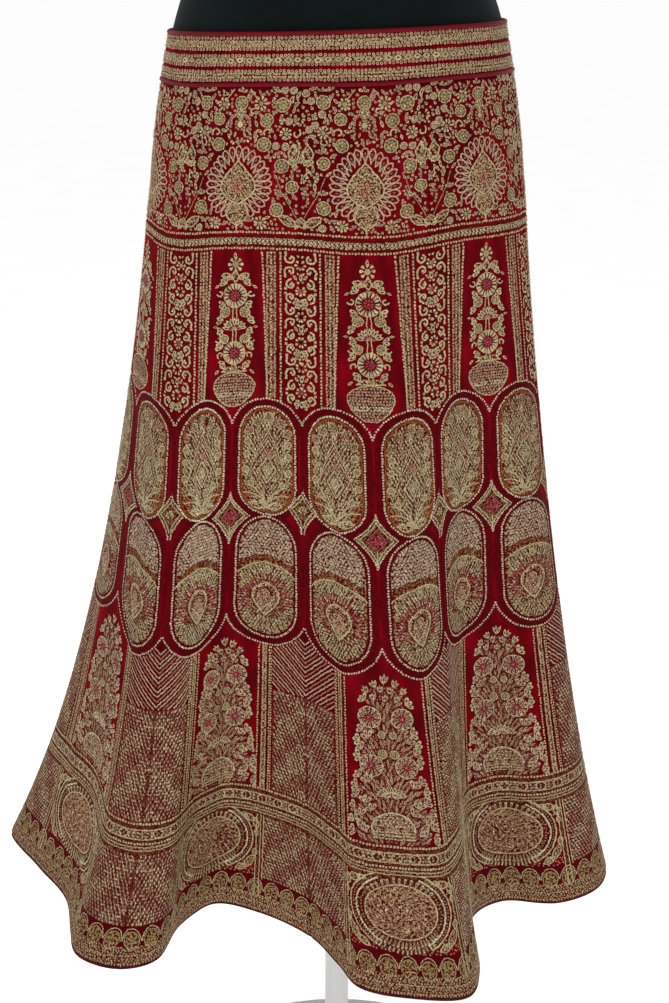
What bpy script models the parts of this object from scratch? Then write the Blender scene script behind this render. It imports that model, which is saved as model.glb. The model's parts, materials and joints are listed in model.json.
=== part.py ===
"""Lehenga skirt with eight shaped panels, standing on a dress form and its stand.

Units are metres, +Z is up and -Y is the front.  The origin is the centre of the
stand base's underside.  The cloth follows one surface: a point on it is found
from its panel coordinate and from its distance down the cloth.

The panel coordinate q runs to the right round the skirt and grows by one a
panel, from the seam just left of the front centre.
"""
import math
from collections import namedtuple

import bmesh
import bpy
import numpy as np

# Driving dimensions of the skirt
PANELS = 8
FRONT_Q = 0.283            # panel coordinate at the front centre
WAIST_Z = 1.20             # height of the waistband's upper edge
SKIRT_LENGTH = 0.95        # waist edge to hem, down the cloth
BAND_DEPTH = 0.0503        # waist edge to the middle of the lower piping
BAND_WALL = 0.003
CLOTH_WALL = 0.002
PIPING_R = 0.0023
PIPING_PROUD = 0.0008      # how far a piping's centre stands out of the cloth's surface
BINDING_DEPTH = 0.0034
SEAM_GAP = 0.0003
HIP_DEPTH = 0.205          # waist edge to the widest part of the hips
FLARE_START = 0.154        # where the cloth leaves the hips
WAIST_TILT = 0.030         # the waist's right side sits higher

# Half width and half depth of the oval sections
WAIST_OVAL = (0.1635, 0.112)
HIP_OVAL = (0.187, 0.126)

# How the flare grows with the depth: a gentle part and a part near the hem
GENTLE_POWER = 1.15
LATE_POWER = 4.0

# The front right flute takes more of its panel's left half
FLUTE_Q = 0.5
FLUTE_REACH = 0.6
FLUTE_EASE = 0.07

# The hem's folds, seen from above.  drop is the depth of the hem below the
# waist edge, and early is the share of the flare that starts at the hips.
Fold = namedtuple("Fold", "name x y drop early")
HEM_FOLDS = (
    Fold("front seam", -0.028, -0.140, 0.921, 0.62),
    Fold("right flute left side", 0.002, -0.190, 0.926, 0.62),
    Fold("right flute left shoulder", 0.022, -0.228, 0.930, 0.62),
    Fold("right flute crest", 0.070, -0.247, 0.931, 0.62),
    Fold("right flute right shoulder", 0.130, -0.248, 0.930, 0.62),
    Fold("right flute edge", 0.144, -0.205, 0.926, 0.62),
    Fold("right valley", 0.142, -0.112, 0.916, 0.62),
    Fold("right lobe front left", 0.178, -0.074, 0.915, 0.75),
    Fold("right lobe front", 0.238, -0.080, 0.914, 0.80),
    Fold("right lobe shoulder", 0.283, -0.052, 0.911, 0.80),
    Fold("right side crest", 0.297, -0.005, 0.907, 0.80),
    Fold("right side valley", 0.278, 0.060, 0.915, 0.70),
    Fold("back right crest", 0.302, 0.140, 0.910, 0.65),
    Fold("back right shoulder", 0.262, 0.193, 0.912, 0.62),
    Fold("back right valley", 0.182, 0.168, 0.918, 0.62),
    Fold("back flute right side", 0.135, 0.205, 0.918, 0.62),
    Fold("back flute right shoulder", 0.108, 0.262, 0.915, 0.62),
    Fold("back flute crest", 0.045, 0.284, 0.915, 0.62),
    Fold("back flute left shoulder", -0.018, 0.262, 0.917, 0.62),
    Fold("back flute left side", -0.048, 0.205, 0.918, 0.62),
    Fold("back left valley", -0.102, 0.168, 0.918, 0.62),
    Fold("back left side", -0.158, 0.205, 0.915, 0.62),
    Fold("back left crest", -0.222, 0.246, 0.912, 0.62),
    Fold("back left shoulder", -0.275, 0.208, 0.910, 0.62),
    Fold("left side valley", -0.300, 0.140, 0.905, 0.70),
    Fold("left lobe back", -0.352, 0.096, 0.895, 0.75),
    Fold("left lobe tip", -0.366, 0.040, 0.890, 0.75),
    Fold("left lobe front", -0.325, -0.035, 0.895, 0.75),
    Fold("left valley", -0.287, -0.094, 0.905, 0.70),
    Fold("left flute left side", -0.279, -0.132, 0.920, 0.65),
    Fold("left flute left shoulder", -0.268, -0.168, 0.928, 0.62),
    Fold("left flute crest", -0.225, -0.190, 0.931, 0.62),
    Fold("left flute right shoulder", -0.188, -0.178, 0.929, 0.62),
    Fold("left flute right side", -0.166, -0.118, 0.920, 0.62),
    Fold("front valley", -0.132, -0.080, 0.915, 0.62),
    Fold("front valley right", -0.085, -0.096, 0.916, 0.62),
)
FOLD_STEPS = 24            # spline points from one fold to the next

# Grid sizes
PANEL_COLUMNS = 14
SEAM_COLUMN = 0.015        # an extra column this far in keeps each seam's edge square to the cloth
PANEL_ROWS = 14
LENGTH_STEPS = 96          # steps used to measure the cloth's slope
BAND_COLUMNS = 56
BAND_ROWS = 2
PIPING_POINTS = 64
OVAL_STEPS = 720

# The dress form.  The part inside the skirt keeps this clearance from the
# cloth's middle surface; the part above and below is a stack of oval sections
# given by height above the waist edge, half width, half depth and y centre.
FORM_BAND_CLEARANCE = BAND_WALL / 2 + 0.0007
FORM_CLOTH_CLEARANCE = CLOTH_WALL / 2 + 0.0030
FORM_COLUMNS = 40
FORM_BAND_DEPTHS = (0.0, 0.025, 0.048)
FORM_CLOTH_DEPTHS = (0.058, 0.100, 0.148)
Section = namedtuple("Section", "name rise half_width half_depth centre_y")
FORM_LOWER = (
    Section("underside rim", -0.256, 0.128, 0.082, 0.0),
    Section("underside edge", -0.252, 0.143, 0.094, 0.0),
    Section("seat", -0.232, 0.163, 0.108, 0.0),
    Section("hips", -0.196, 0.176, 0.116, 0.0),
)
FORM_UPPER = (
    Section("above the waistband", 0.022, 0.1545, 0.1080, 0.000),
    Section("high hip", 0.055, 0.1430, 0.1010, 0.000),
    Section("waist", 0.100, 0.1330, 0.0950, -0.001),
    Section("lower ribs", 0.145, 0.1360, 0.0980, -0.003),
    Section("ribs", 0.195, 0.1450, 0.1080, -0.008),
    Section("under the bust", 0.235, 0.1540, 0.1175, -0.012),
    Section("bust", 0.285, 0.1620, 0.1265, -0.018),
    Section("above the bust", 0.330, 0.1660, 0.1215, -0.014),
    Section("chest", 0.375, 0.1700, 0.1065, -0.005),
    Section("upper chest", 0.415, 0.1690, 0.0890, 0.003),
    Section("shoulders", 0.445, 0.1530, 0.0730, 0.009),
    Section("shoulder slope", 0.466, 0.1180, 0.0620, 0.011),
    Section("neck root", 0.483, 0.0800, 0.0570, 0.010),
    Section("neck", 0.510, 0.0590, 0.0540, 0.007),
    Section("neck top", 0.556, 0.0540, 0.0525, 0.003),
)
FORM_TILT_FADE = 0.10      # height over which the waist's tilt dies out

# The neck cap and the stand
CAP_R = 0.050
CAP_HEIGHT = 0.010
CAP_EDGE = 0.003
BASE_R = 0.190
BASE_HEIGHT = 0.014
BASE_EDGE = 0.004
HUB_R = 0.024
HUB_HEIGHT = 0.040
POLE_R = 0.013
COLLAR_R = 0.044
COLLAR_HEIGHT = 0.006
COLLAR_HUB_R = 0.020
COLLAR_HUB_HEIGHT = 0.034
TURN_STEPS = 48

COLOURS = {
    "velvet": (0.30, 0.012, 0.035),
    "zari": (0.52, 0.42, 0.27),
    "piping": (0.42, 0.015, 0.04),
    "binding": (0.12, 0.010, 0.02),
    "form": (0.012, 0.012, 0.013),
    "stand": (0.86, 0.86, 0.85),
}


def fold_spline():
    """Return the closed hem curve's points, with columns x, y, drop and early."""
    knots = np.array([fold[1:] for fold in HEM_FOLDS])
    before = np.roll(knots, 1, axis=0)
    after = np.roll(knots, -1, axis=0)
    second = np.roll(knots, -2, axis=0)

    def step(first, last):
        chord = np.linalg.norm((last - first)[:, :2], axis=1)
        return np.sqrt(chord)[:, None]

    d0 = step(before, knots)
    d1 = step(knots, after)
    d2 = step(after, second)
    leave = d1 * ((knots - before) / d0 - (after - before) / (d0 + d1) + (after - knots) / d1)
    arrive = d1 * ((after - knots) / d1 - (second - knots) / (d1 + d2) + (second - after) / d2)
    t = (np.arange(FOLD_STEPS) / FOLD_STEPS)[None, :, None]
    curve = (2 * t**3 - 3 * t**2 + 1) * knots[:, None, :]
    curve = curve + (t**3 - 2 * t**2 + t) * leave[:, None, :]
    curve = curve + (3 * t**2 - 2 * t**3) * after[:, None, :]
    curve = curve + (t**3 - t**2) * arrive[:, None, :]
    return curve.reshape(-1, knots.shape[1])


def at_share(curve, share):
    """Read a closed curve at shares of its length round in plan."""
    loop = np.vstack([curve, curve[:1]])
    steps = np.linalg.norm(np.diff(loop[:, :2], axis=0), axis=1)
    run = np.concatenate([[0.0], np.cumsum(steps)])
    place = np.mod(share, 1.0) * run[-1]
    columns = [np.interp(place, run, loop[:, k]) for k in range(loop.shape[1])]
    return np.stack(columns, axis=-1)


def oval_points(half_width, half_depth, q):
    """Read an oval section at panel coordinates, evenly by its length."""
    turn = np.arange(OVAL_STEPS) * (2 * math.pi / OVAL_STEPS)
    oval = np.stack([half_width * np.sin(turn), -half_depth * np.cos(turn)], axis=-1)
    return at_share(oval, (q - FRONT_Q) / PANELS)


def hem_points(q):
    """Read the hem curve at panel coordinates."""
    reach = np.clip(1.0 - ((q - FLUTE_Q) / FLUTE_REACH) ** 2, 0.0, 1.0)
    return at_share(fold_spline(), (q + FLUTE_EASE * reach**2) / PANELS)


def cloth_surface(depths, q):
    """Return the cloth's middle surface as a grid of points, depth by panel coordinate.

    In plan each point slides from the hip oval to the hem curve.  Its height
    comes from the cloth's length: a step down the cloth that moves outward
    drops by the rest of the step.
    """
    q = np.asarray(q, dtype=float)
    walk = np.linspace(0.0, SKIRT_LENGTH, LENGTH_STEPS + 1)
    hem = hem_points(q)
    plan = np.zeros((len(walk), len(q), 2))
    for row, depth in enumerate(walk):
        grow = math.sin(min(depth / HIP_DEPTH, 1.0) * math.pi / 2)
        width = WAIST_OVAL[0] + (HIP_OVAL[0] - WAIST_OVAL[0]) * grow
        thick = WAIST_OVAL[1] + (HIP_OVAL[1] - WAIST_OVAL[1]) * grow
        part = max(0.0, (depth - FLARE_START) / (SKIRT_LENGTH - FLARE_START))
        flare = hem[:, 3] * part**GENTLE_POWER + (1.0 - hem[:, 3]) * part**LATE_POWER
        oval = oval_points(width, thick, q)
        plan[row] = oval + (hem[:, :2] - oval) * flare[:, None]
    out = np.linalg.norm(np.diff(plan, axis=0), axis=2)
    fall = np.sqrt(np.maximum((SKIRT_LENGTH / LENGTH_STEPS) ** 2 - out**2, 0.0))
    fallen = np.vstack([np.zeros((1, len(q))), np.cumsum(fall, axis=0)])
    share = fallen / fallen[-1]
    height = WAIST_Z - share * hem[:, 2] + WAIST_TILT * plan[:, :, 0] * (1.0 - share)
    walked = np.concatenate([plan, height[:, :, None]], axis=2)
    depths = np.clip(np.asarray(depths, dtype=float), 0.0, SKIRT_LENGTH)
    place = depths / SKIRT_LENGTH * LENGTH_STEPS
    low = np.minimum(place.astype(int), LENGTH_STEPS - 1)
    rest = (place - low)[:, None, None]
    return walked[low] * (1.0 - rest) + walked[low + 1] * rest


def grid_mesh(name, points, closed_round=False):
    """Make an open sheet from a grid of points, its faces towards the outside."""
    rows, columns = points.shape[:2]
    spans = columns if closed_round else columns - 1
    faces = []
    for row in range(rows - 1):
        for column in range(spans):
            beside = (column + 1) % columns
            top = row * columns
            bottom = top + columns
            faces.append((top + column, bottom + column, bottom + beside, top + beside))
    mesh = bpy.data.meshes.new(name)
    mesh.from_pydata(points.reshape(-1, 3).tolist(), [], faces)
    mesh.update()
    return mesh


def add_object(name, data, collection, material):
    """Put a mesh or curve in the collection under its node's name."""
    item = bpy.data.objects.new(name, data)
    data.materials.append(material)
    collection.objects.link(item)
    return item


def add_wall(item, thickness):
    """Thicken a sheet evenly to both sides of its surface."""
    wall = item.modifiers.new("wall", "SOLIDIFY")
    wall.thickness = thickness
    wall.offset = 0.0
    return item


def make_material(name, roughness, metallic=0.0):
    """Make a plain material in one of the named colours."""
    material = bpy.data.materials.new(name)
    material.use_nodes = True
    shader = material.node_tree.nodes["Principled BSDF"]
    shader.inputs["Base Color"].default_value = (*COLOURS[name], 1.0)
    shader.inputs["Roughness"].default_value = roughness
    shader.inputs["Metallic"].default_value = metallic
    return material


def panel_shares(margin):
    """Return where a panel's columns lie across it, a margin in from both seams."""
    inner = np.arange(1, PANEL_COLUMNS) / PANEL_COLUMNS
    return np.array([margin, SEAM_COLUMN, *inner, 1.0 - SEAM_COLUMN, 1.0 - margin])


def panel_columns(panel, depth):
    """Return a panel's column coordinates at a depth, short of its seams by half the gap."""
    edges = cloth_surface([depth], [panel, panel + 0.5, panel + 1.0])[0]
    width = np.linalg.norm(np.diff(edges, axis=0), axis=1).sum()
    return panel + panel_shares(SEAM_GAP / 2 / width)


def add_panel(panel, name, collection, material):
    """Cut one panel of the skirt, from the lower piping to the hem binding."""
    top = BAND_DEPTH + PIPING_R + SEAM_GAP
    bottom = SKIRT_LENGTH - BINDING_DEPTH - SEAM_GAP
    rows = []
    for depth in np.linspace(top, bottom, PANEL_ROWS + 1):
        rows.append(cloth_surface([depth], panel_columns(panel, depth))[0])
    item = add_object(name, grid_mesh(name, np.array(rows)), collection, material)
    return add_wall(item, CLOTH_WALL)


def add_waistband(collection, material):
    """Cut the waistband, one strip whose ends meet at the centre back."""
    back = FRONT_Q + PANELS / 2
    margin = SEAM_GAP / 2 / (2 * math.pi * WAIST_OVAL[1]) * PANELS
    q = np.linspace(back - PANELS + margin, back - margin, BAND_COLUMNS + 1)
    top = 2 * PIPING_R + SEAM_GAP
    bottom = BAND_DEPTH - PIPING_R - SEAM_GAP
    points = cloth_surface(np.linspace(top, bottom, BAND_ROWS + 1), q)
    item = add_object("waistband", grid_mesh("waistband", points), collection, material)
    return add_wall(item, BAND_WALL)


def add_piping(name, depth, collection, material):
    """Run a round cord once round the skirt at a depth down the cloth."""
    q = np.arange(PIPING_POINTS) * (PANELS / PIPING_POINTS)
    points = cloth_surface([depth], q)[0]
    along = np.roll(points, -1, axis=0) - np.roll(points, 1, axis=0)
    outward = np.column_stack([along[:, 1], -along[:, 0], np.zeros(PIPING_POINTS)])
    points += PIPING_PROUD * outward / np.linalg.norm(outward, axis=1)[:, None]
    curve = bpy.data.curves.new(name, "CURVE")
    curve.dimensions = "3D"
    curve.bevel_depth = PIPING_R
    curve.bevel_resolution = 2
    spline = curve.splines.new("POLY")
    spline.points.add(PIPING_POINTS - 1)
    spline.points.foreach_set("co", np.column_stack([points, np.ones(PIPING_POINTS)]).ravel())
    spline.use_cyclic_u = True
    return add_object(name, curve, collection, material)


def add_hem_binding(collection, material):
    """Bind the hem with a narrow strip all the way round."""
    shares = panel_shares(0.0)[:-1]
    q = (np.arange(PANELS)[:, None] + shares[None, :]).ravel()
    points = cloth_surface([SKIRT_LENGTH - BINDING_DEPTH, SKIRT_LENGTH], q)
    mesh = grid_mesh("hem_binding", points, closed_round=True)
    return add_wall(add_object("hem_binding", mesh, collection, material), CLOTH_WALL)


def form_ring(rise, half_width, half_depth, centre_y):
    """Return one oval section of the form at a height above the waist edge."""
    turn = np.arange(FORM_COLUMNS) * (2 * math.pi / FORM_COLUMNS)
    x = half_width * np.sin(turn)
    y = centre_y - half_depth * np.cos(turn)
    tilt = WAIST_TILT * max(0.0, 1.0 - rise / FORM_TILT_FADE) if rise > 0 else 0.0
    return np.column_stack([x, y, WAIST_Z + rise + tilt * x])


def form_ring_in_skirt(depth, clearance):
    """Return the form's section inside the cloth, a clearance in from its surface."""
    turn = np.arange(FORM_COLUMNS) * (2 * math.pi / FORM_COLUMNS)
    grow = math.sin(depth / HIP_DEPTH * math.pi / 2)
    width = WAIST_OVAL[0] + (HIP_OVAL[0] - WAIST_OVAL[0]) * grow - clearance
    thick = WAIST_OVAL[1] + (HIP_OVAL[1] - WAIST_OVAL[1]) * grow - clearance
    x = width * np.sin(turn)
    fall = -cloth_surface([depth], [FRONT_Q])[0, 0, 2] + WAIST_Z
    tilt = WAIST_TILT * (1.0 - depth / SKIRT_LENGTH)
    return np.column_stack([x, -thick * np.cos(turn), WAIST_Z - fall + tilt * x])


def add_form(collection, material):
    """Loft the dress form's body through its sections and close both ends flat."""
    rings = [form_ring(*section[1:]) for section in FORM_LOWER]
    for depth in reversed(FORM_CLOTH_DEPTHS):
        rings.append(form_ring_in_skirt(depth, FORM_CLOTH_CLEARANCE))
    for depth in reversed(FORM_BAND_DEPTHS):
        rings.append(form_ring_in_skirt(depth, FORM_BAND_CLEARANCE))
    rings.extend(form_ring(*section[1:]) for section in FORM_UPPER)
    mesh = grid_mesh("form_torso", np.array(rings[::-1]), closed_round=True)
    body = bmesh.new()
    body.from_mesh(mesh)
    open_edges = [edge for edge in body.edges if edge.is_boundary]
    bmesh.ops.holes_fill(body, edges=open_edges, sides=0)
    bmesh.ops.recalc_face_normals(body, faces=body.faces)
    body.to_mesh(mesh)
    body.free()
    mesh.shade_smooth()
    return add_object("form_torso", mesh, collection, material)


def add_turned(name, profile, collection, material):
    """Turn a profile of radius and height pairs, given from the top to the bottom."""
    mesh = bpy.data.meshes.new(name)
    points = [(radius, 0.0, height) for radius, height in profile]
    edges = [(k, k + 1) for k in range(len(points) - 1)]
    mesh.from_pydata(points, edges, [])
    item = add_object(name, mesh, collection, material)
    turn = item.modifiers.new("turn", "SCREW")
    turn.steps = TURN_STEPS
    turn.render_steps = TURN_STEPS
    turn.use_merge_vertices = True
    turn.merge_threshold = 0.00005
    return item


def add_neck_cap(collection, material):
    """Set a round cap on the top of the neck."""
    low = WAIST_Z + FORM_UPPER[-1].rise + SEAM_GAP
    high = low + CAP_HEIGHT
    profile = [(0.0, high), (CAP_R - CAP_EDGE, high), (CAP_R, high - CAP_EDGE), (CAP_R, low), (0.0, low)]
    item = add_turned("form_neck_cap", profile, collection, material)
    item.location.y = FORM_UPPER[-1].centre_y
    return item


def add_stand(collection, material):
    """Stand the form on a round base, a pole and a collar under the form."""
    base = [
        (0.0, HUB_HEIGHT),
        (HUB_R - BASE_EDGE / 2, HUB_HEIGHT),
        (HUB_R, HUB_HEIGHT - BASE_EDGE / 2),
        (HUB_R, BASE_HEIGHT),
        (BASE_R - BASE_EDGE, BASE_HEIGHT),
        (BASE_R, BASE_HEIGHT - BASE_EDGE),
        (BASE_R, 0.0),
        (0.0, 0.0),
    ]
    add_turned("stand_base", base, collection, material)
    top = WAIST_Z + FORM_LOWER[0].rise - SEAM_GAP
    hub_low = top - COLLAR_HEIGHT - COLLAR_HUB_HEIGHT
    collar = [
        (0.0, top),
        (COLLAR_R, top),
        (COLLAR_R, top - COLLAR_HEIGHT),
        (COLLAR_HUB_R, top - COLLAR_HEIGHT),
        (COLLAR_HUB_R, hub_low),
        (0.0, hub_low),
    ]
    add_turned("stand_collar", collar, collection, material)
    low = HUB_HEIGHT + SEAM_GAP
    high = hub_low - SEAM_GAP
    pole = [(0.0, high), (POLE_R, high), (POLE_R, low), (0.0, low)]
    add_turned("stand_pole", pole, collection, material)


def main():
    """Build the skirt and the form it stands on."""
    for item in list(bpy.data.objects):
        bpy.data.objects.remove(item, do_unlink=True)
    collection = bpy.data.collections.new("Lehenga skirt on a dress form")
    bpy.context.scene.collection.children.link(collection)
    velvet = make_material("velvet", 0.75)
    zari = make_material("zari", 0.45, metallic=0.5)
    piping = make_material("piping", 0.6)
    binding = make_material("binding", 0.7)
    form = make_material("form", 0.8)
    stand = make_material("stand", 0.35)
    for panel in range(PANELS):
        add_panel(panel, f"kali_{panel + 1}", collection, velvet)
    add_waistband(collection, zari)
    add_piping("piping_upper", PIPING_R, collection, piping)
    add_piping("piping_lower", BAND_DEPTH, collection, piping)
    add_hem_binding(collection, binding)
    add_form(collection, form)
    add_neck_cap(collection, form)
    add_stand(collection, stand)


main()
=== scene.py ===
"""Looks of the lehenga skirt: velvet panels, metal thread embroidery, dress form and stand.

Units are metres, +Z is up and -Y is the front.  Every place on the cloth is given by
a panel coordinate q, which grows by one a panel to the right round the skirt, and by
the distance s down the cloth from the waist edge.  The embroidery of one panel is
drawn once, as a flat draft in millimetres from the panel's middle line and the waist
edge, and is then worked on all eight panels.
"""

import json
import logging
import math
from dataclasses import dataclass, field
from enum import Enum
from typing import Callable, Iterable

import bpy
import numpy as np
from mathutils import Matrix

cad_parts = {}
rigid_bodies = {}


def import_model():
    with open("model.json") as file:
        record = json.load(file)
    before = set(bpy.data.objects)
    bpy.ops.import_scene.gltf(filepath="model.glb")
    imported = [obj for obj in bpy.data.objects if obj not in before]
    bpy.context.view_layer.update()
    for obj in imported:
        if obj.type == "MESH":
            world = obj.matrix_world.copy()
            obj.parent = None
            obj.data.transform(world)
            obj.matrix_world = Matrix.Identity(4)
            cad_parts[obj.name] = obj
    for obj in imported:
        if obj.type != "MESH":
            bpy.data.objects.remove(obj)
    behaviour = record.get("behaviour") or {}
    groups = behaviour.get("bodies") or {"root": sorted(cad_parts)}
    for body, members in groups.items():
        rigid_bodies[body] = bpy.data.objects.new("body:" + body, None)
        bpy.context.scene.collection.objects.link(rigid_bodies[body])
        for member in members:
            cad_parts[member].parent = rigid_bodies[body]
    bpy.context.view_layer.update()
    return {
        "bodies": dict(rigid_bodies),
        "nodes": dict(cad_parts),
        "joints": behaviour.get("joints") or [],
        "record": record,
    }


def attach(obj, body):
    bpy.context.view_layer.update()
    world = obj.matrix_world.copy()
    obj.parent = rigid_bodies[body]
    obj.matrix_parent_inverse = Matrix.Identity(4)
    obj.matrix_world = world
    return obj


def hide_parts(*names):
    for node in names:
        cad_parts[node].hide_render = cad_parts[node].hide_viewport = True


Array = np.ndarray
Colour = tuple[float, float, float]
Span = tuple[float, float]
Box = tuple[float, float, float, float]
Mesh = bpy.types.Mesh
Piece = bpy.types.Object
Finish = bpy.types.Material
Socket = bpy.types.NodeSocket

PANELS = 8
FRONT_Q = 0.283            # panel coordinate that faces the viewer
SKIRT_LENGTH = 0.95
BAND_DEPTH = 0.0503
PIPING_R = 0.0023
BINDING_DEPTH = 0.0034
SEAM_GAP = 0.0003          # metres left free between two pieces
UV_NAME = "OFBake"
UV_WIDTH = 0.30            # metres across the cloth that the whole UV square spans
log = logging.getLogger("lehenga")


def linear(red: int, green: int, blue: int) -> Colour:
    """Turn a screen colour of 0 to 255 into linear light.

    Args:
        red: red as shown on a screen.
        green: green as shown on a screen.
        blue: blue as shown on a screen.

    Returns:
        The same colour in linear light, 0 to 1.
    """
    shares = (red / 255.0, green / 255.0, blue / 255.0)
    return tuple(c / 12.92 if c <= 0.04045 else ((c + 0.055) / 1.055) ** 2.4 for c in shares)


class Thread(Enum):
    """Colours of thread, sequin and ground used in the embroidery."""

    PALE = linear(198, 182, 140)
    GOLD = linear(170, 150, 106)
    OLIVE = linear(142, 130, 78)
    DEEP = linear(98, 70, 44)
    SILVER = linear(208, 199, 168)
    GLINT = linear(238, 236, 226)
    PINK = linear(178, 62, 80)
    RUST = linear(150, 72, 24)
    WINE = linear(92, 0, 9)
    ROSE = linear(170, 112, 96)
    FAN = linear(196, 168, 138)
    NAP = linear(108, 1, 12)


PALE, GOLD, OLIVE, DEEP, SILVER, GLINT, PINK, RUST, WINE, ROSE, FAN, NAP = Thread
ToneMap = Callable[..., Array]


# The cloth's surface
@dataclass
class SkirtSurface:
    """The cloth's middle surface, worked out as in the part's source.

    In plan each point slides from the hip oval to the hem curve, and its height comes
    from the cloth's length, so depths are true distances down the cloth.
    """

    waist_z: float = 1.20
    hip_depth: float = 0.205
    flare_start: float = 0.154
    waist_tilt: float = 0.030
    waist_oval: Span = (0.1635, 0.112)
    hip_oval: Span = (0.187, 0.126)
    gentle_power: float = 1.15
    late_power: float = 4.0
    flute_q: float = 0.5
    flute_reach: float = 0.6
    flute_ease: float = 0.07
    fold_steps: int = 24
    length_steps: int = 190
    columns_a_panel: int = 64
    # Hem folds seen from above: x, y, drop of the hem, share of the flare from the hips
    hem_folds: tuple[tuple[float, float, float, float], ...] = (
        (-0.028, -0.140, 0.921, 0.62), (0.002, -0.190, 0.926, 0.62),
        (0.022, -0.228, 0.930, 0.62), (0.070, -0.247, 0.931, 0.62),
        (0.130, -0.248, 0.930, 0.62), (0.144, -0.205, 0.926, 0.62),
        (0.142, -0.112, 0.916, 0.62), (0.178, -0.074, 0.915, 0.75),
        (0.238, -0.080, 0.914, 0.80), (0.283, -0.052, 0.911, 0.80),
        (0.297, -0.005, 0.907, 0.80), (0.278, 0.060, 0.915, 0.70),
        (0.302, 0.140, 0.910, 0.65), (0.262, 0.193, 0.912, 0.62),
        (0.182, 0.168, 0.918, 0.62), (0.135, 0.205, 0.918, 0.62),
        (0.108, 0.262, 0.915, 0.62), (0.045, 0.284, 0.915, 0.62),
        (-0.018, 0.262, 0.917, 0.62), (-0.048, 0.205, 0.918, 0.62),
        (-0.102, 0.168, 0.918, 0.62), (-0.158, 0.205, 0.915, 0.62),
        (-0.222, 0.246, 0.912, 0.62), (-0.275, 0.208, 0.910, 0.62),
        (-0.300, 0.140, 0.905, 0.70), (-0.352, 0.096, 0.895, 0.75),
        (-0.366, 0.040, 0.890, 0.75), (-0.325, -0.035, 0.895, 0.75),
        (-0.287, -0.094, 0.905, 0.70), (-0.279, -0.132, 0.920, 0.65),
        (-0.268, -0.168, 0.928, 0.62), (-0.225, -0.190, 0.931, 0.62),
        (-0.188, -0.178, 0.929, 0.62), (-0.166, -0.118, 0.920, 0.62),
        (-0.132, -0.080, 0.915, 0.62), (-0.085, -0.096, 0.916, 0.62),
    )
    # Soft creases: q, its drift to the hem, top, bottom, half width in q, height in metres
    creases: tuple[tuple[float, float, float, float, float, float], ...] = (
        (0.20, 0.05, 0.40, 0.98, 0.050, -0.0016), (0.44, -0.04, 0.52, 1.00, 0.040, 0.0014),
        (0.78, 0.02, 0.35, 0.90, 0.055, -0.0014), (-0.25, -0.06, 0.34, 0.93, 0.060, -0.0018),
        (-0.55, 0.03, 0.45, 0.99, 0.045, 0.0015), (-0.82, 0.05, 0.30, 0.85, 0.050, -0.0013),
        (-1.30, -0.04, 0.36, 0.98, 0.055, -0.0017), (-1.68, 0.03, 0.42, 0.92, 0.045, 0.0015),
        (1.28, 0.05, 0.33, 0.95, 0.060, -0.0018), (1.60, -0.03, 0.47, 1.00, 0.040, 0.0014),
        (2.22, 0.04, 0.38, 0.96, 0.055, -0.0016), (2.71, -0.05, 0.31, 0.90, 0.050, 0.0013),
        (3.33, 0.03, 0.43, 0.99, 0.055, -0.0018), (3.74, -0.03, 0.36, 0.88, 0.045, 0.0014),
        (4.27, -0.05, 0.34, 0.97, 0.060, -0.0015), (4.66, 0.04, 0.49, 1.00, 0.042, 0.0016),
        (5.31, 0.05, 0.37, 0.93, 0.055, -0.0017), (5.79, -0.02, 0.44, 0.99, 0.048, 0.0013),
    )
    points: Array = field(init=False, repr=False)
    across: Array = field(init=False, repr=False)
    down: Array = field(init=False, repr=False)
    normal: Array = field(init=False, repr=False)
    widths: Array = field(init=False, repr=False)

    def __post_init__(self) -> None:
        """Sample the surface once, with its directions and each panel's width."""
        columns = PANELS * self.columns_a_panel
        q = np.arange(columns) / self.columns_a_panel
        walk = np.linspace(0.0, SKIRT_LENGTH, self.length_steps + 1)
        self.points = self._walk(walk, q)
        self._set_directions()
        relief = self.relief(q[None, :], walk[:, None])
        self.points = self.points + self.normal * relief[..., None]
        self._set_directions()
        steps = np.linalg.norm(np.roll(self.points, -1, axis=1) - self.points, axis=2)
        self.widths = steps.reshape(len(walk), PANELS, self.columns_a_panel).sum(axis=2)

    def _set_directions(self) -> None:
        """Find the unit vectors across, down and outward at each sample."""
        across = np.roll(self.points, -1, axis=1) - np.roll(self.points, 1, axis=1)
        down = np.gradient(self.points, axis=0)
        across /= np.linalg.norm(across, axis=2, keepdims=True)
        normal = np.cross(down, across)
        normal /= np.linalg.norm(normal, axis=2, keepdims=True)
        self.across, self.normal = across, normal
        self.down = np.cross(across, normal)

    def _hem_curve(self) -> Array:
        """Return the closed hem curve, a centripetal spline through the folds."""
        knots = np.array(self.hem_folds)
        before, after = np.roll(knots, 1, axis=0), np.roll(knots, -1, axis=0)
        second = np.roll(knots, -2, axis=0)
        d0 = np.sqrt(np.linalg.norm((knots - before)[:, :2], axis=1))[:, None]
        d1 = np.sqrt(np.linalg.norm((after - knots)[:, :2], axis=1))[:, None]
        d2 = np.sqrt(np.linalg.norm((second - after)[:, :2], axis=1))[:, None]
        leave = d1 * ((knots - before) / d0 - (after - before) / (d0 + d1) + (after - knots) / d1)
        arrive = d1 * ((after - knots) / d1 - (second - knots) / (d1 + d2) + (second - after) / d2)
        t = (np.arange(self.fold_steps) / self.fold_steps)[None, :, None]
        curve = (2 * t**3 - 3 * t**2 + 1) * knots[:, None, :]
        curve = curve + (t**3 - 2 * t**2 + t) * leave[:, None, :]
        curve = curve + (3 * t**2 - 2 * t**3) * after[:, None, :]
        curve = curve + (t**3 - t**2) * arrive[:, None, :]
        return curve.reshape(-1, 4)

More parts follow.
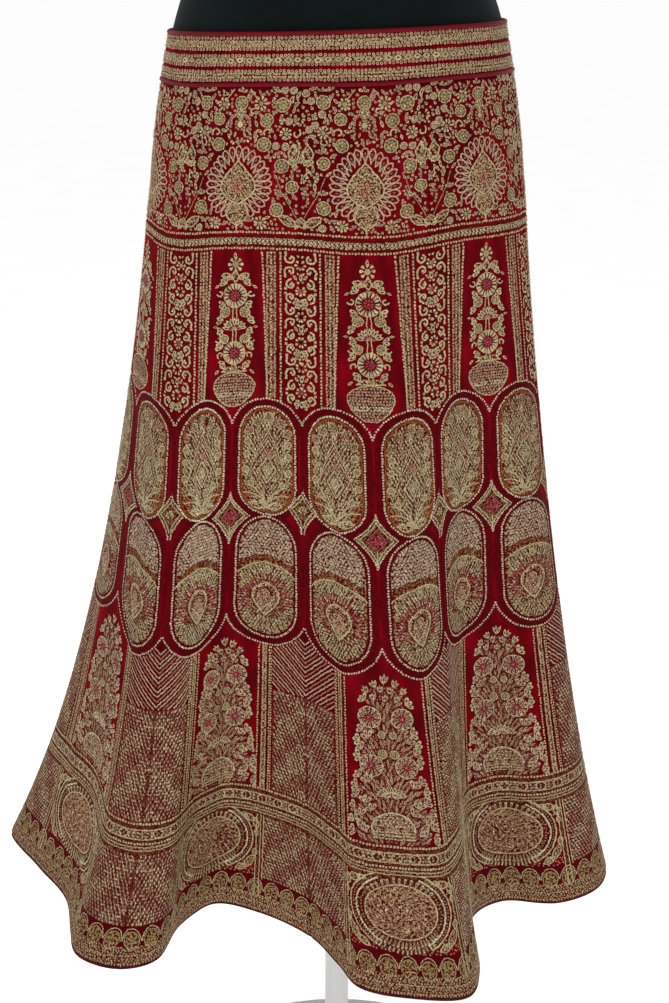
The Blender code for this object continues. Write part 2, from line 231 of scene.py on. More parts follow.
    @staticmethod
    def _at_share(curve: Array, share: Array) -> Array:
        """Read a closed curve at shares of its length round in plan."""
        loop = np.vstack([curve, curve[:1]])
        run = np.concatenate([[0.0], np.cumsum(np.linalg.norm(np.diff(loop[:, :2], axis=0), axis=1))])
        place = np.mod(share, 1.0) * run[-1]
        return np.stack([np.interp(place, run, loop[:, k]) for k in range(loop.shape[1])], axis=-1)

    def oval(self, depth: float, q: Array, shrink: float = 0.0) -> Array:
        """Return the waist's or hips' oval at a depth, evenly by its length.

        Args:
            depth: distance down the cloth.
            q: panel coordinates.
            shrink: how much smaller the oval is on every side.

        Returns:
            Plan points x and y, one a coordinate.
        """
        grow = math.sin(min(depth / self.hip_depth, 1.0) * math.pi / 2)
        width = self.waist_oval[0] + (self.hip_oval[0] - self.waist_oval[0]) * grow - shrink
        thick = self.waist_oval[1] + (self.hip_oval[1] - self.waist_oval[1]) * grow - shrink
        turn = np.arange(720) * (2 * math.pi / 720)
        loop = np.stack([width * np.sin(turn), -thick * np.cos(turn)], axis=-1)
        return self._at_share(loop, (q - FRONT_Q) / PANELS)

    def _walk(self, walk: Array, q: Array) -> Array:
        """Return the surface at evenly spaced depths.

        A step down the cloth that moves outward drops by the rest of the step, and the
        heights are scaled so that each column ends at the hem's own drop.
        """
        reach = np.clip(1.0 - ((np.mod(q + 4, 8) - 4 - self.flute_q) / self.flute_reach) ** 2, 0, 1)
        hem = self._at_share(self._hem_curve(), (q + self.flute_ease * reach**2) / PANELS)
        part = np.maximum(0.0, (walk - self.flare_start) / (SKIRT_LENGTH - self.flare_start))
        early = hem[None, :, 3]
        flare = early * part[:, None] ** self.gentle_power
        flare = flare + (1.0 - early) * part[:, None] ** self.late_power
        ovals = np.stack([self.oval(depth, q) for depth in walk])
        plan = ovals + (hem[None, :, :2] - ovals) * flare[..., None]
        out = np.linalg.norm(np.diff(plan, axis=0), axis=2)
        fall = np.sqrt(np.maximum((walk[1] - walk[0]) ** 2 - out**2, 0.0))
        fallen = np.vstack([np.zeros((1, len(q))), np.cumsum(fall, axis=0)])
        share = fallen / fallen[-1]
        height = self.waist_z - share * hem[None, :, 2]
        height = height + self.waist_tilt * plan[:, :, 0] * (1.0 - share)
        return np.concatenate([plan, height[:, :, None]], axis=2)

    def relief(self, q: Array, s: Array) -> Array:
        """Return how far the cloth stands out of its plain form.

        Each crease is a bell curve across, which swells and dies along its length as the
        sine of its run, and every seam is a narrow trough.
        """
        total = np.zeros(np.broadcast(q, s).shape)
        for centre, drift, top, bottom, width, height in self.creases:
            run = np.clip((s - top) / (bottom - top), 0.0, 1.0)
            apart = np.mod(q - centre - drift * run + 4.0, 8.0) - 4.0
            total += height * np.exp(-((apart / width) ** 2)) * np.sin(run * math.pi) ** 0.7
        seam = np.abs(np.mod(q + 0.5, 1.0) - 0.5) * (0.10 + 0.20 * s)
        return total - 0.0009 * np.exp(-((seam / 0.0016) ** 2)) * (s > BAND_DEPTH)

    def _read(self, grid: Array, q: Array, s: Array) -> Array:
        """Read a sampled grid between its samples, straight both ways."""
        column = np.mod(q, PANELS) * self.columns_a_panel
        row = np.clip(s / SKIRT_LENGTH, 0.0, 1.0) * self.length_steps
        c0 = np.floor(column).astype(int)
        r0 = np.minimum(row.astype(int), self.length_steps - 1)
        fc, fr = (column - c0)[..., None], (row - r0)[..., None]
        total = PANELS * self.columns_a_panel
        c1, c0 = (c0 + 1) % total, c0 % total
        above = grid[r0, c0] * (1 - fc) + grid[r0, c1] * fc
        below = grid[r0 + 1, c0] * (1 - fc) + grid[r0 + 1, c1] * fc
        return above * (1 - fr) + below * fr

    def at(self, q: Array, s: Array, lift: Array | float = 0.0) -> Array:
        """Return points on the cloth.

        Args:
            q: panel coordinates.
            s: distances down the cloth.
            lift: how far the points stand out of the middle surface.

        Returns:
            Points in space, with the shape of q and s and one axis more.
        """
        q, s = np.broadcast_arrays(q, s)
        raised = np.asarray(lift, dtype=float)[..., None]
        return self._read(self.points, q, s) + self._read(self.normal, q, s) * raised

    def frames(self, q: Array, s: Array) -> tuple[Array, Array, Array]:
        """Return the unit vectors across, down and outward at places on the cloth."""
        return tuple(self._read(grid, q, s) for grid in (self.across, self.down, self.normal))

    def half_width(self, s: Array) -> Array:
        """Return half of a panel's usual width at a depth, the mean of all eight."""
        walk = np.linspace(0.0, SKIRT_LENGTH, self.length_steps + 1)
        return np.interp(s, walk, self.widths.mean(axis=1)) / 2


# Meshes
def grid_faces(rows: int, columns: int, closed: bool = False) -> Array:
    """Return the four-cornered faces of a grid of points, row by row.

    Args:
        rows: rows of points.
        columns: points in a row.
        closed: join each row's last point to its first.

    Returns:
        Corner numbers, one row a face, facing outward for rows that go down and
        columns that go to the right.
    """
    spans = columns if closed else columns - 1
    row, column = np.meshgrid(np.arange(rows - 1), np.arange(spans), indexing="ij")
    beside = (column + 1) % columns
    top, low = row * columns, (row + 1) * columns
    return np.stack([top + column, low + column, low + beside, top + beside], axis=-1).reshape(-1, 4)


def make_mesh(name: str, points: Array, faces: Array) -> Mesh:
    """Put points and faces of one corner count into a new smooth mesh.

    Args:
        name: the mesh's name.
        points: points in space.
        faces: corner numbers, one row a face.

    Returns:
        The new mesh.
    """
    mesh = bpy.data.meshes.new(name)
    points = np.asarray(points, dtype=np.float32).reshape(-1, 3)
    faces = np.asarray(faces, dtype=np.int32)
    mesh.vertices.add(len(points))
    mesh.vertices.foreach_set("co", points.ravel())
    mesh.loops.add(faces.size)
    mesh.loops.foreach_set("vertex_index", faces.ravel())
    mesh.polygons.add(len(faces))
    mesh.polygons.foreach_set("loop_start", np.arange(len(faces), dtype=np.int32) * faces.shape[1])
    mesh.update(calc_edges=True)
    mesh.polygons.foreach_set("use_smooth", np.full(len(faces), True))
    mesh.validate()
    return mesh


def set_uv(mesh: Mesh, uv: Array) -> None:
    """Give a mesh its UV map from one UV point a vertex."""
    layer = mesh.uv_layers.new(name=UV_NAME)
    corners = np.empty(len(mesh.loops), dtype=np.int32)
    mesh.loops.foreach_get("vertex_index", corners)
    layer.data.foreach_set("uv", np.asarray(uv, dtype=np.float32).reshape(-1, 2)[corners].ravel())


def set_colours(mesh: Mesh, name: str, colours: Array) -> None:
    """Give a mesh a named colour attribute, one colour a vertex."""
    layer = mesh.color_attributes.new(name=name, type="FLOAT_COLOR", domain="POINT")
    rgba = np.ones((len(mesh.vertices), 4), dtype=np.float32)
    rgba[:, :3] = np.asarray(colours, dtype=np.float32).reshape(-1, 3)
    layer.data.foreach_set("color", rgba.ravel())


def set_values(mesh: Mesh, name: str, values: Array) -> None:
    """Give a mesh a named number attribute, one number a vertex."""
    layer = mesh.attributes.new(name=name, type="FLOAT", domain="POINT")
    layer.data.foreach_set("value", np.asarray(values, dtype=np.float32).ravel())


def add_piece(name: str, mesh: Mesh, material: Finish) -> Piece:
    """Link a mesh as a piece that rides on the skirt's one body.

    Args:
        name: the piece's name.
        mesh: its mesh, already in place.
        material: its finish.

    Returns:
        The new object.
    """
    piece = bpy.data.objects.new(name, mesh)
    bpy.context.scene.collection.objects.link(piece)
    mesh.materials.append(material)
    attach(piece, "root")
    return piece


def thicken(piece: Piece, wall: float) -> None:
    """Thicken a sheet evenly to both sides."""
    solid = piece.modifiers.new("wall", "SOLIDIFY")
    solid.thickness = wall
    solid.offset = 0.0


def cloth_uv(f: Array, s: Array, half_width: Array) -> Array:
    """Lay places of a panel out flat, centred across and turned upright."""
    return np.stack([0.5 + f * half_width / UV_WIDTH, 1.0 - s / SKIRT_LENGTH], axis=-1)


# Finishes
class NodeSketch:
    """A short way to write a material's nodes."""

    def __init__(self, name: str) -> None:
        """Start a material with its own shader node."""
        self.material = bpy.data.materials.new(name)
        self.material.use_nodes = True
        self.tree = self.material.node_tree
        self.shader = self.tree.nodes["Principled BSDF"]

    def add(self, kind: str, links: dict | None = None, **settings: object) -> bpy.types.Node:
        """Add a node, set its values and link its inputs.

        Args:
            kind: the node's type.
            links: input name or number to the output that feeds it, or to a plain value.
            settings: properties set on the node itself.

        Returns:
            The new node.
        """
        node = self.tree.nodes.new(kind)
        for key, value in settings.items():
            setattr(node, key, value)
        for key, value in (links or {}).items():
            if isinstance(value, Socket):
                self.tree.links.new(value, node.inputs[key])
            else:
                node.inputs[key].default_value = value
        return node

    def ramp(self, source: Socket, stops: Iterable[tuple[float, Colour]]) -> Socket:
        """Colour a number by stops of place and colour."""
        node = self.add("ShaderNodeValToRGB", {0: source})
        stops = list(stops)
        while len(node.color_ramp.elements) < len(stops):
            node.color_ramp.elements.new(1.0)
        for element, (place, colour) in zip(node.color_ramp.elements, stops):
            element.position = place
            element.color = (*colour, 1.0)
        return node.outputs[0]

    def mix(self, share: object, one: object, other: object, blend: str = "MIX") -> Socket:
        """Mix two colours by a share."""
        node = self.tree.nodes.new("ShaderNodeMix")
        node.data_type = "RGBA"
        node.blend_type = blend
        for index, value in ((0, share), (6, one), (7, other)):
            if isinstance(value, Socket):
                self.tree.links.new(value, node.inputs[index])
            elif index:
                node.inputs[index].default_value = (*value, 1.0)
            else:
                node.inputs[index].default_value = value
        return node.outputs[2]

    def maths(self, operation: str, *values: object) -> Socket:
        """Work a sum on numbers or outputs."""
        node = self.tree.nodes.new("ShaderNodeMath")
        node.operation = operation
        for index, value in enumerate(values):
            if isinstance(value, Socket):
                self.tree.links.new(value, node.inputs[index])
            else:
                node.inputs[index].default_value = value
        return node.outputs[0]

    def feed(self, socket: str, output: Socket) -> None:
        """Link an output to one of the shader's inputs."""
        self.tree.links.new(output, self.shader.inputs[socket])

    def bump(self, height: Socket, distance: float, strength: float = 1.0) -> None:
        """Raise the surface by a height pattern, at a depth in metres."""
        node = self.add("ShaderNodeBump", {"Height": height, "Strength": strength, "Distance": distance})
        self.feed("Normal", node.outputs[0])

    def constants(self, **values: object) -> None:
        """Set plain values straight on the shader, with underscores for spaces."""
        for key, value in values.items():
            self.shader.inputs[key.replace("_", " ")].default_value = value

    def cloth_metres(self) -> Socket:
        """Return the flat cloth's own coordinates in metres."""
        uv = self.add("ShaderNodeUVMap", uv_map=UV_NAME)
        scale = {"Vector": uv.outputs[0], "Scale": (UV_WIDTH, SKIRT_LENGTH, 1.0)}
        return self.add("ShaderNodeMapping", scale).outputs[0]

    def noise(self, where: Socket, scale: float, detail: float = 2.0) -> Socket:
        """Return a smooth noise from 0 to 1 at a scale in waves a metre."""
        links = {"Vector": where, "Scale": scale, "Detail": detail}
        return self.add("ShaderNodeTexNoise", links).outputs["Fac"]

    def stretched(self, where: Socket, x: float, y: float, z: float) -> Socket:
        """Stretch coordinates along their axes."""
        return self.add("ShaderNodeMapping", {"Vector": where, "Scale": (x, y, z)}).outputs[0]


@dataclass(frozen=True)
class Velvet:
    """Cut pile velvet: painted shade where the pile faces the eye, painted sheen where it is laid flat."""

    ground: Colour = linear(106, 2, 14)
    brushed_sheen: Colour = linear(130, 3, 20)
    crushed_shade: Colour = linear(84, 1, 11)
    sheen: Colour = linear(230, 12, 34)

    def build(self) -> Finish:
        """Return the velvet, its painted sheen and shade following the nap in long soft strokes down the
        cloth.
        """
        sketch = NodeSketch("cut_pile_velvet")
        where = sketch.cloth_metres()
        strokes = sketch.noise(sketch.stretched(where, 62.0, 20.0, 1.0), 1.0, 3.0)
        patches = sketch.noise(sketch.stretched(where, 14.0, 9.0, 1.0), 1.0, 2.0)
        # Random patches of the pile: the light ones are painted sheen and the dark ones are painted shade.
        brushed_sheen = sketch.maths("MULTIPLY_ADD", strokes, 0.6, sketch.maths("MULTIPLY", patches, 0.4))
        stops = [(0.38, self.crushed_shade), (0.50, self.ground), (0.63, self.brushed_sheen)]
        sketch.feed("Base Color", sketch.ramp(brushed_sheen, stops))
        pile = sketch.noise(sketch.stretched(where, 1500.0, 700.0, 1.0), 1.0, 1.0)
        height = sketch.maths("MULTIPLY_ADD", pile, 0.35, brushed_sheen)
        sketch.bump(height, 0.0006, 0.5)
        sketch.constants(Roughness=0.9, Sheen_Weight=0.35, Sheen_Roughness=0.32)
        sketch.constants(Sheen_Tint=(*self.sheen, 1.0), Specular_IOR_Level=0.04)
        return sketch.material


@dataclass(frozen=True)
class MetalThread:
    """Raised metal thread and ring sequins, coloured stitch by stitch."""

    dark: Colour = linear(80, 1, 9)

    def build(self) -> Finish:
        """Return the thread: its own colour, fine wire twist and a dark hole in ring sequins."""
        sketch = NodeSketch("metal_thread")
        tone = sketch.add("ShaderNodeAttribute", attribute_name="tone")
        hub = sketch.add("ShaderNodeAttribute", attribute_name="hub").outputs["Fac"]
        where = sketch.cloth_metres()
        fleck = sketch.noise(where, 900.0, 2.0)
        light = sketch.ramp(fleck, [(0.32, (0.52, 0.50, 0.46)), (0.62, (1.12, 1.12, 1.10))])
        coloured = sketch.mix(1.0, tone.outputs["Color"], light, "MULTIPLY")
        hole = sketch.add("ShaderNodeMapRange", {"Value": hub, 1: 0.46, 2: 0.62}).outputs[0]
        sketch.feed("Base Color", sketch.mix(hole, coloured, self.dark))
        sketch.bump(fleck, 0.0003, 0.6)
        sketch.constants(Metallic=0.15, Roughness=0.5, Specular_IOR_Level=0.15)
        return sketch.material


@dataclass(frozen=True)
class BeadedGround:
    """Closely filled thread and bead work: small bright stitches with dark gaps."""

    gap: Colour = linear(82, 0, 8)
    bead: float = 0.0019

    def build(self) -> Finish:
        """Return the filling, one bead a cell, each cell lighter at its middle."""
        sketch = NodeSketch("beaded_filling")
        tone = sketch.add("ShaderNodeAttribute", attribute_name="tone")
        where = sketch.cloth_metres()
        links = {"Vector": where, "Scale": 1.0 / self.bead, "Randomness": 0.75}
        cell = sketch.add("ShaderNodeTexVoronoi", links)
        near = cell.outputs["Distance"]
        random = sketch.add("ShaderNodeSeparateColor", {"Color": cell.outputs["Color"]})
        vary = sketch.ramp(random.outputs[0], [(0.0, (0.55, 0.50, 0.44)), (1.0, (1.45, 1.42, 1.34))])
        coloured = sketch.mix(1.0, tone.outputs["Color"], vary, "MULTIPLY")
        edge = sketch.add("ShaderNodeMapRange", {"Value": near, 1: 0.34, 2: 0.62}).outputs[0]
        sketch.feed("Base Color", sketch.mix(edge, coloured, self.gap))
        sketch.bump(sketch.maths("SUBTRACT", 1.0, near), 0.0007, 0.9)
        sketch.constants(Metallic=0.0, Roughness=0.7, Specular_IOR_Level=0.04)
        return sketch.material


@dataclass(frozen=True)
class SatinCord:
    """A satin strip wound round a cord."""

    name: str = "satin_cord"
    colour: Colour = linear(116, 3, 17)
    shade: Colour = linear(102, 2, 14)
    roughness: float = 0.6

    def build(self) -> Finish:
        """Return the satin, with fine cross threads and a little unevenness."""
        sketch = NodeSketch(self.name)
        place = sketch.add("ShaderNodeTexCoord").outputs["Object"]
        uneven = sketch.noise(place, 60.0, 3.0)
        fine = sketch.noise(sketch.stretched(place, 1.0, 1.0, 5.0), 700.0, 1.0)
        sketch.feed("Base Color", sketch.ramp(uneven, [(0.35, self.shade), (0.65, self.colour)]))
        sketch.bump(fine, 0.0003, 0.5)
        sketch.constants(Roughness=self.roughness, Specular_IOR_Level=0.15)
        return sketch.material


@dataclass(frozen=True)
class Jersey:
    """Matt black jersey drawn tight over the padded form."""

    colour: Colour = linear(5, 13, 14)
    light: Colour = linear(10, 20, 22)

    def build(self) -> Finish:
        """Return the jersey, with its fine ribs as bump."""
        sketch = NodeSketch("form_jersey")
        place = sketch.add("ShaderNodeTexCoord").outputs["Object"]
        weave = sketch.add("ShaderNodeTexWave", {"Vector": place, "Scale": 420.0, "Distortion": 1.5})
        cloud = sketch.noise(place, 14.0, 3.0)
        sketch.feed("Base Color", sketch.ramp(cloud, [(0.3, self.colour), (0.7, self.light)]))
        sketch.bump(weave.outputs["Fac"], 0.00015, 0.35)
        sketch.constants(Roughness=0.86, Sheen_Weight=0.04, Sheen_Roughness=0.5, Specular_IOR_Level=0.12)
        return sketch.material


@dataclass(frozen=True)
class PlainFinish:
    """A smooth coat with a little unevenness, for the cap, the stand and the floor."""

    name: str
    colour: Colour
    roughness: float
    grain: float = 220.0
    glow: float = 0.0

    def build(self) -> Finish:
        """Return the coat, its colour and gloss a little uneven."""
        sketch = NodeSketch(self.name)
        place = sketch.add("ShaderNodeTexCoord").outputs["Object"]
        cloud = sketch.noise(place, 5.0, 3.0)
        darker = tuple(0.95 * c for c in self.colour)
        sketch.feed("Base Color", sketch.ramp(cloud, [(0.35, darker), (0.65, self.colour)]))
        grain = sketch.noise(place, self.grain, 2.0)
        sketch.bump(grain, 0.0002, 0.15)
        sketch.constants(Roughness=self.roughness, Emission_Color=(1.0, 1.0, 1.0, 1.0))
        sketch.constants(Emission_Strength=self.glow)
        return sketch.material


# The velvet panels
@dataclass
class VelvetPanels:
    """The eight shaped panels of velvet, each a thin shell on its solid's form."""

    cloth: SkirtSurface
    columns: int = 44
    rows: int = 84
    wall: float = 0.0020
    top: float = BAND_DEPTH + PIPING_R + SEAM_GAP
    bottom: float = SKIRT_LENGTH - BINDING_DEPTH - SEAM_GAP

    def build_panel(self, index: int, finish: Finish) -> Piece:
        """Cut one panel.

        Args:
            index: the panel, 0 for the one at the front right.
            finish: the velvet.

        Returns:
            The panel's piece, which stands for its solid.
        """
        s = np.linspace(self.top, self.bottom, self.rows + 1)[:, None]
        half = self.cloth.half_width(s)
        f = np.linspace(-1.0, 1.0, self.columns + 1)[None, :] * (1.0 - SEAM_GAP / 2 / half)
        points = self.cloth.at(index + 0.5 + f / 2, s + np.zeros_like(f))
        mesh = make_mesh(f"velvet_{index + 1}", points, grid_faces(self.rows + 1, self.columns + 1))
        set_uv(mesh, cloth_uv(f, s + np.zeros_like(f), half))
        piece = add_piece(f"velvet_{index + 1}", mesh, finish)
        thicken(piece, self.wall)
        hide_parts(f"kali_{index + 1}")
        return piece

    def cut_area(self) -> float:
        """Return the flat area of one panel, its width summed down its length."""
        s = np.linspace(self.top, self.bottom, 200)
        return float(2 * self.cloth.half_width(s).mean() * (self.bottom - self.top))

    def cut_width(self) -> float:
        """Return the width of the strip that one panel is cut from, its hem width."""
        return float(2 * self.cloth.half_width(self.bottom))


# Waistband and trims
@dataclass
class Waistband:
    """The stiff band, its two pipings and the bound hem."""

    cloth: SkirtSurface
    columns: int = 288
    rows: int = 7
    wall: float = 0.0030
    cord_points: int = 320
    cord_sides: int = 10
    piping_proud: float = 0.0008

    def build_band(self, finish: Finish) -> Piece:
        """Cut the band, one strip whose ends meet at the centre back."""
        back = FRONT_Q + PANELS / 2
        margin = 0.0015
        q = np.linspace(back - PANELS + margin, back - margin, self.columns + 1)[None, :]
        s = np.linspace(2 * PIPING_R + SEAM_GAP, BAND_DEPTH - PIPING_R - SEAM_GAP, self.rows + 1)[:, None]
        q, s = np.broadcast_arrays(q, s)
        mesh = make_mesh("waistband_cloth", self.cloth.at(q, s), grid_faces(*q.shape))
        set_uv(mesh, np.stack([np.mod(q * 0.11, 0.3) / UV_WIDTH, 1.0 - s / SKIRT_LENGTH], axis=-1))
        piece = add_piece("waistband_cloth", mesh, finish)
        thicken(piece, self.wall)
        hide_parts("waistband")
        return piece

    def build_cord(self, name: str, depth: float, node: str, finish: Finish) -> Piece:
        """Run a round cord once round the skirt.

        Each section is a circle about the path, between the outward and the down
        direction, and the path stands a little out of the cloth.
        """
        q = (np.arange(self.cord_points) * (PANELS / self.cord_points))[:, None]
        turn = (np.arange(self.cord_sides) * (2 * math.pi / self.cord_sides))[None, :]
        s = np.full_like(q, depth)
        _, down, normal = self.cloth.frames(q, s)
        middle = self.cloth.at(q, s, self.piping_proud)
        ring = normal * np.cos(turn)[..., None] + down * np.sin(turn)[..., None]
        points = middle + PIPING_R * ring
        faces = grid_faces(self.cord_points + 1, self.cord_sides, closed=True)
        faces = np.mod(faces, self.cord_points * self.cord_sides)
        piece = add_piece(name, make_mesh(name, points, faces), finish)
        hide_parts(node)
        return piece

    def build_binding(self, finish: Finish) -> Piece:
        """Fold a narrow tape over the hem: front, lower edge and back in one strip."""
        q = (np.arange(512) * (PANELS / 512))[None, :]
        top = SKIRT_LENGTH - BINDING_DEPTH
        path = [(top, 0.0009), (top + 0.0012, 0.00115), (SKIRT_LENGTH - 0.0006, 0.00115)]
        path += [(SKIRT_LENGTH, 0.0004), (SKIRT_LENGTH, -0.0004)]
        path += [(SKIRT_LENGTH - 0.0006, -0.00115), (top + 0.0012, -0.00115), (top, -0.0009)]
        s = np.array([p[0] for p in path])[:, None]
        lift = np.array([p[1] for p in path])[:, None]
        points = self.cloth.at(q + np.zeros_like(s), s + np.zeros_like(q), lift + np.zeros_like(q))
        faces = grid_faces(len(path) + 1, q.shape[1], closed=True)
        faces = np.mod(faces, points.shape[0] * points.shape[1])
        piece = add_piece("hem_tape", make_mesh("hem_tape", points, faces), finish)
        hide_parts("hem_binding")
        return piece


# The embroidery's draft
class Shape(Enum):
    """Outlines of a raised stitch, length by width: six rim points, and four for a small one."""

    ROUND = (((1, 0), (0.5, 0.87), (-0.5, 0.87), (-1, 0), (-0.5, -0.87), (0.5, -0.87)),
             ((0.81, 0.81), (-0.81, 0.81), (-0.81, -0.81), (0.81, -0.81)))
    LEAF = (((1, 0), (0.38, 0.85), (-0.38, 0.85), (-1, 0), (-0.38, -0.85), (0.38, -0.85)),
            ((1.1, 0), (0, 1.07), (-1.1, 0), (0, -1.07)))
    DROP = (((1, 0), (0.62, 0.9), (-0.3, 0.55), (-1, 0), (-0.3, -0.55), (0.62, -0.9)),
            ((1, 0), (0.4, 1.0), (-1, 0), (0.4, -1.0)))
    BAR = (((1, 0), (0.8, 0.95), (-0.8, 0.95), (-1, 0), (-0.8, -0.95), (0.8, -0.95)),
           ((0.93, 0.92), (-0.93, 0.92), (-0.93, -0.92), (0.93, -0.92)))


ROUND, LEAF, DROP, BAR = SHAPES = list(Shape)
BOTH = (1, -1)             # the right side and the left


def pair(u: Array, s: Array) -> Array:
    """Put places across and down side by side, one point a row."""
    return np.stack([u, s], axis=-1)


def resample(points: Array, pitch: float, closed: bool = False) -> tuple[Array, Array]:
    """Space places evenly along a line of points.

    Args:
        points: the line, one point a row.
        pitch: the wished distance between places.
        closed: the line ends where it starts, so the last place is left out.

    Returns:
        The places, and the line's direction there in radians.
    """
    points = np.asarray(points, dtype=float)
    run = np.concatenate([[0.0], np.cumsum(np.linalg.norm(np.diff(points, axis=0), axis=1))])
    count = max(2, int(round(run[-1] / pitch)) + (0 if closed else 1))
    wished = np.linspace(0.0, run[-1], count, endpoint=not closed)
    places, ahead, behind = (pair(*(np.interp(wished + step, run, points[:, k]) for k in (0, 1)))
                             for step in (0.0, pitch / 4, -pitch / 4))
    turn = ahead - behind
    return places, np.arctan2(turn[:, 1], turn[:, 0])


def arc(u: float, s: float, across: float, down: float, start: float = 0, end: float = 360,
        steps: int = 48) -> Array:
    """Return points on an oval's edge, by angle in degrees from the right turning down."""
    turn = np.radians(np.linspace(start, end, steps))
    return pair(u + across * np.cos(turn), s + down * np.sin(turn))


def spin(count: int, start: float = 0.0) -> Array:
    """Return angles in even steps once round, in radians."""
    return np.arange(count) * (2 * math.pi / count) + start


def turned(points: Array, angle: float) -> Array:
    """Turn points about the origin by an angle in radians."""
    cos, sin = math.cos(angle), math.sin(angle)
    return pair(points[:, 0] * cos - points[:, 1] * sin, points[:, 0] * sin + points[:, 1] * cos)


def outline(wide: Array, depth: Array, axis: float = 0.0) -> Array:
    """Return the edge of a form that is as wide on both sides of an axis."""
    right = pair(axis + wide, depth)
    return np.vstack([right, (right[::-1] - (2 * axis, 0)) * (-1, 1)])


def slant(side: float, turn: float) -> float:
    """Return an angle in degrees, mirrored on the left side."""
    return 90 + side * (turn - 90)


def many(draw: Callable[..., None], rows: Iterable[tuple]) -> None:
    """Draw a motif once for each row of a table."""
    for row in rows:
        draw(*row)


def mottle(u: Array, s: Array, size: float) -> Array:
    """Return a soft cloudy pattern from 0 to 1, the mean of three crossed waves."""
    a = np.sin(1.9 * u / size + 1.3 * np.sin(0.7 * s / size))
    b = np.sin(2.3 * s / size + 1.7 * np.sin(0.9 * u / size) + 1.0)
    c = np.sin(1.3 * (u + s) / size + 2.0)
    return 0.5 + (a + b + c) / 6


def rgb(tone: Thread | Array) -> Array:
    """Return a thread's colour, or colours as they are."""
    return np.asarray(tone.value if isinstance(tone, Thread) else tone, dtype=float)


def blend(one: Thread | Array, other: Thread | Array, share: Array) -> Array:
    """Mix two colours by a share at each place."""
    share = np.clip(share, 0.0, 1.0)[..., None]
    return rgb(one) * (1 - share) + rgb(other) * share


def clouded(one: Thread, other: Thread, size: float, low: float = 0.0, grow: float = 1.0) -> ToneMap:
    """Return a tone function that clouds between two threads, its share from low up by grow."""
    return lambda u, s, *rest: blend(one, other, low + grow * mottle(u, s, size))


def plain(tone: Thread | Array) -> ToneMap:
    """Return a tone function of one colour alone."""
    return lambda u, s, *rest: np.zeros((*np.shape(u), 3)) + rgb(tone)


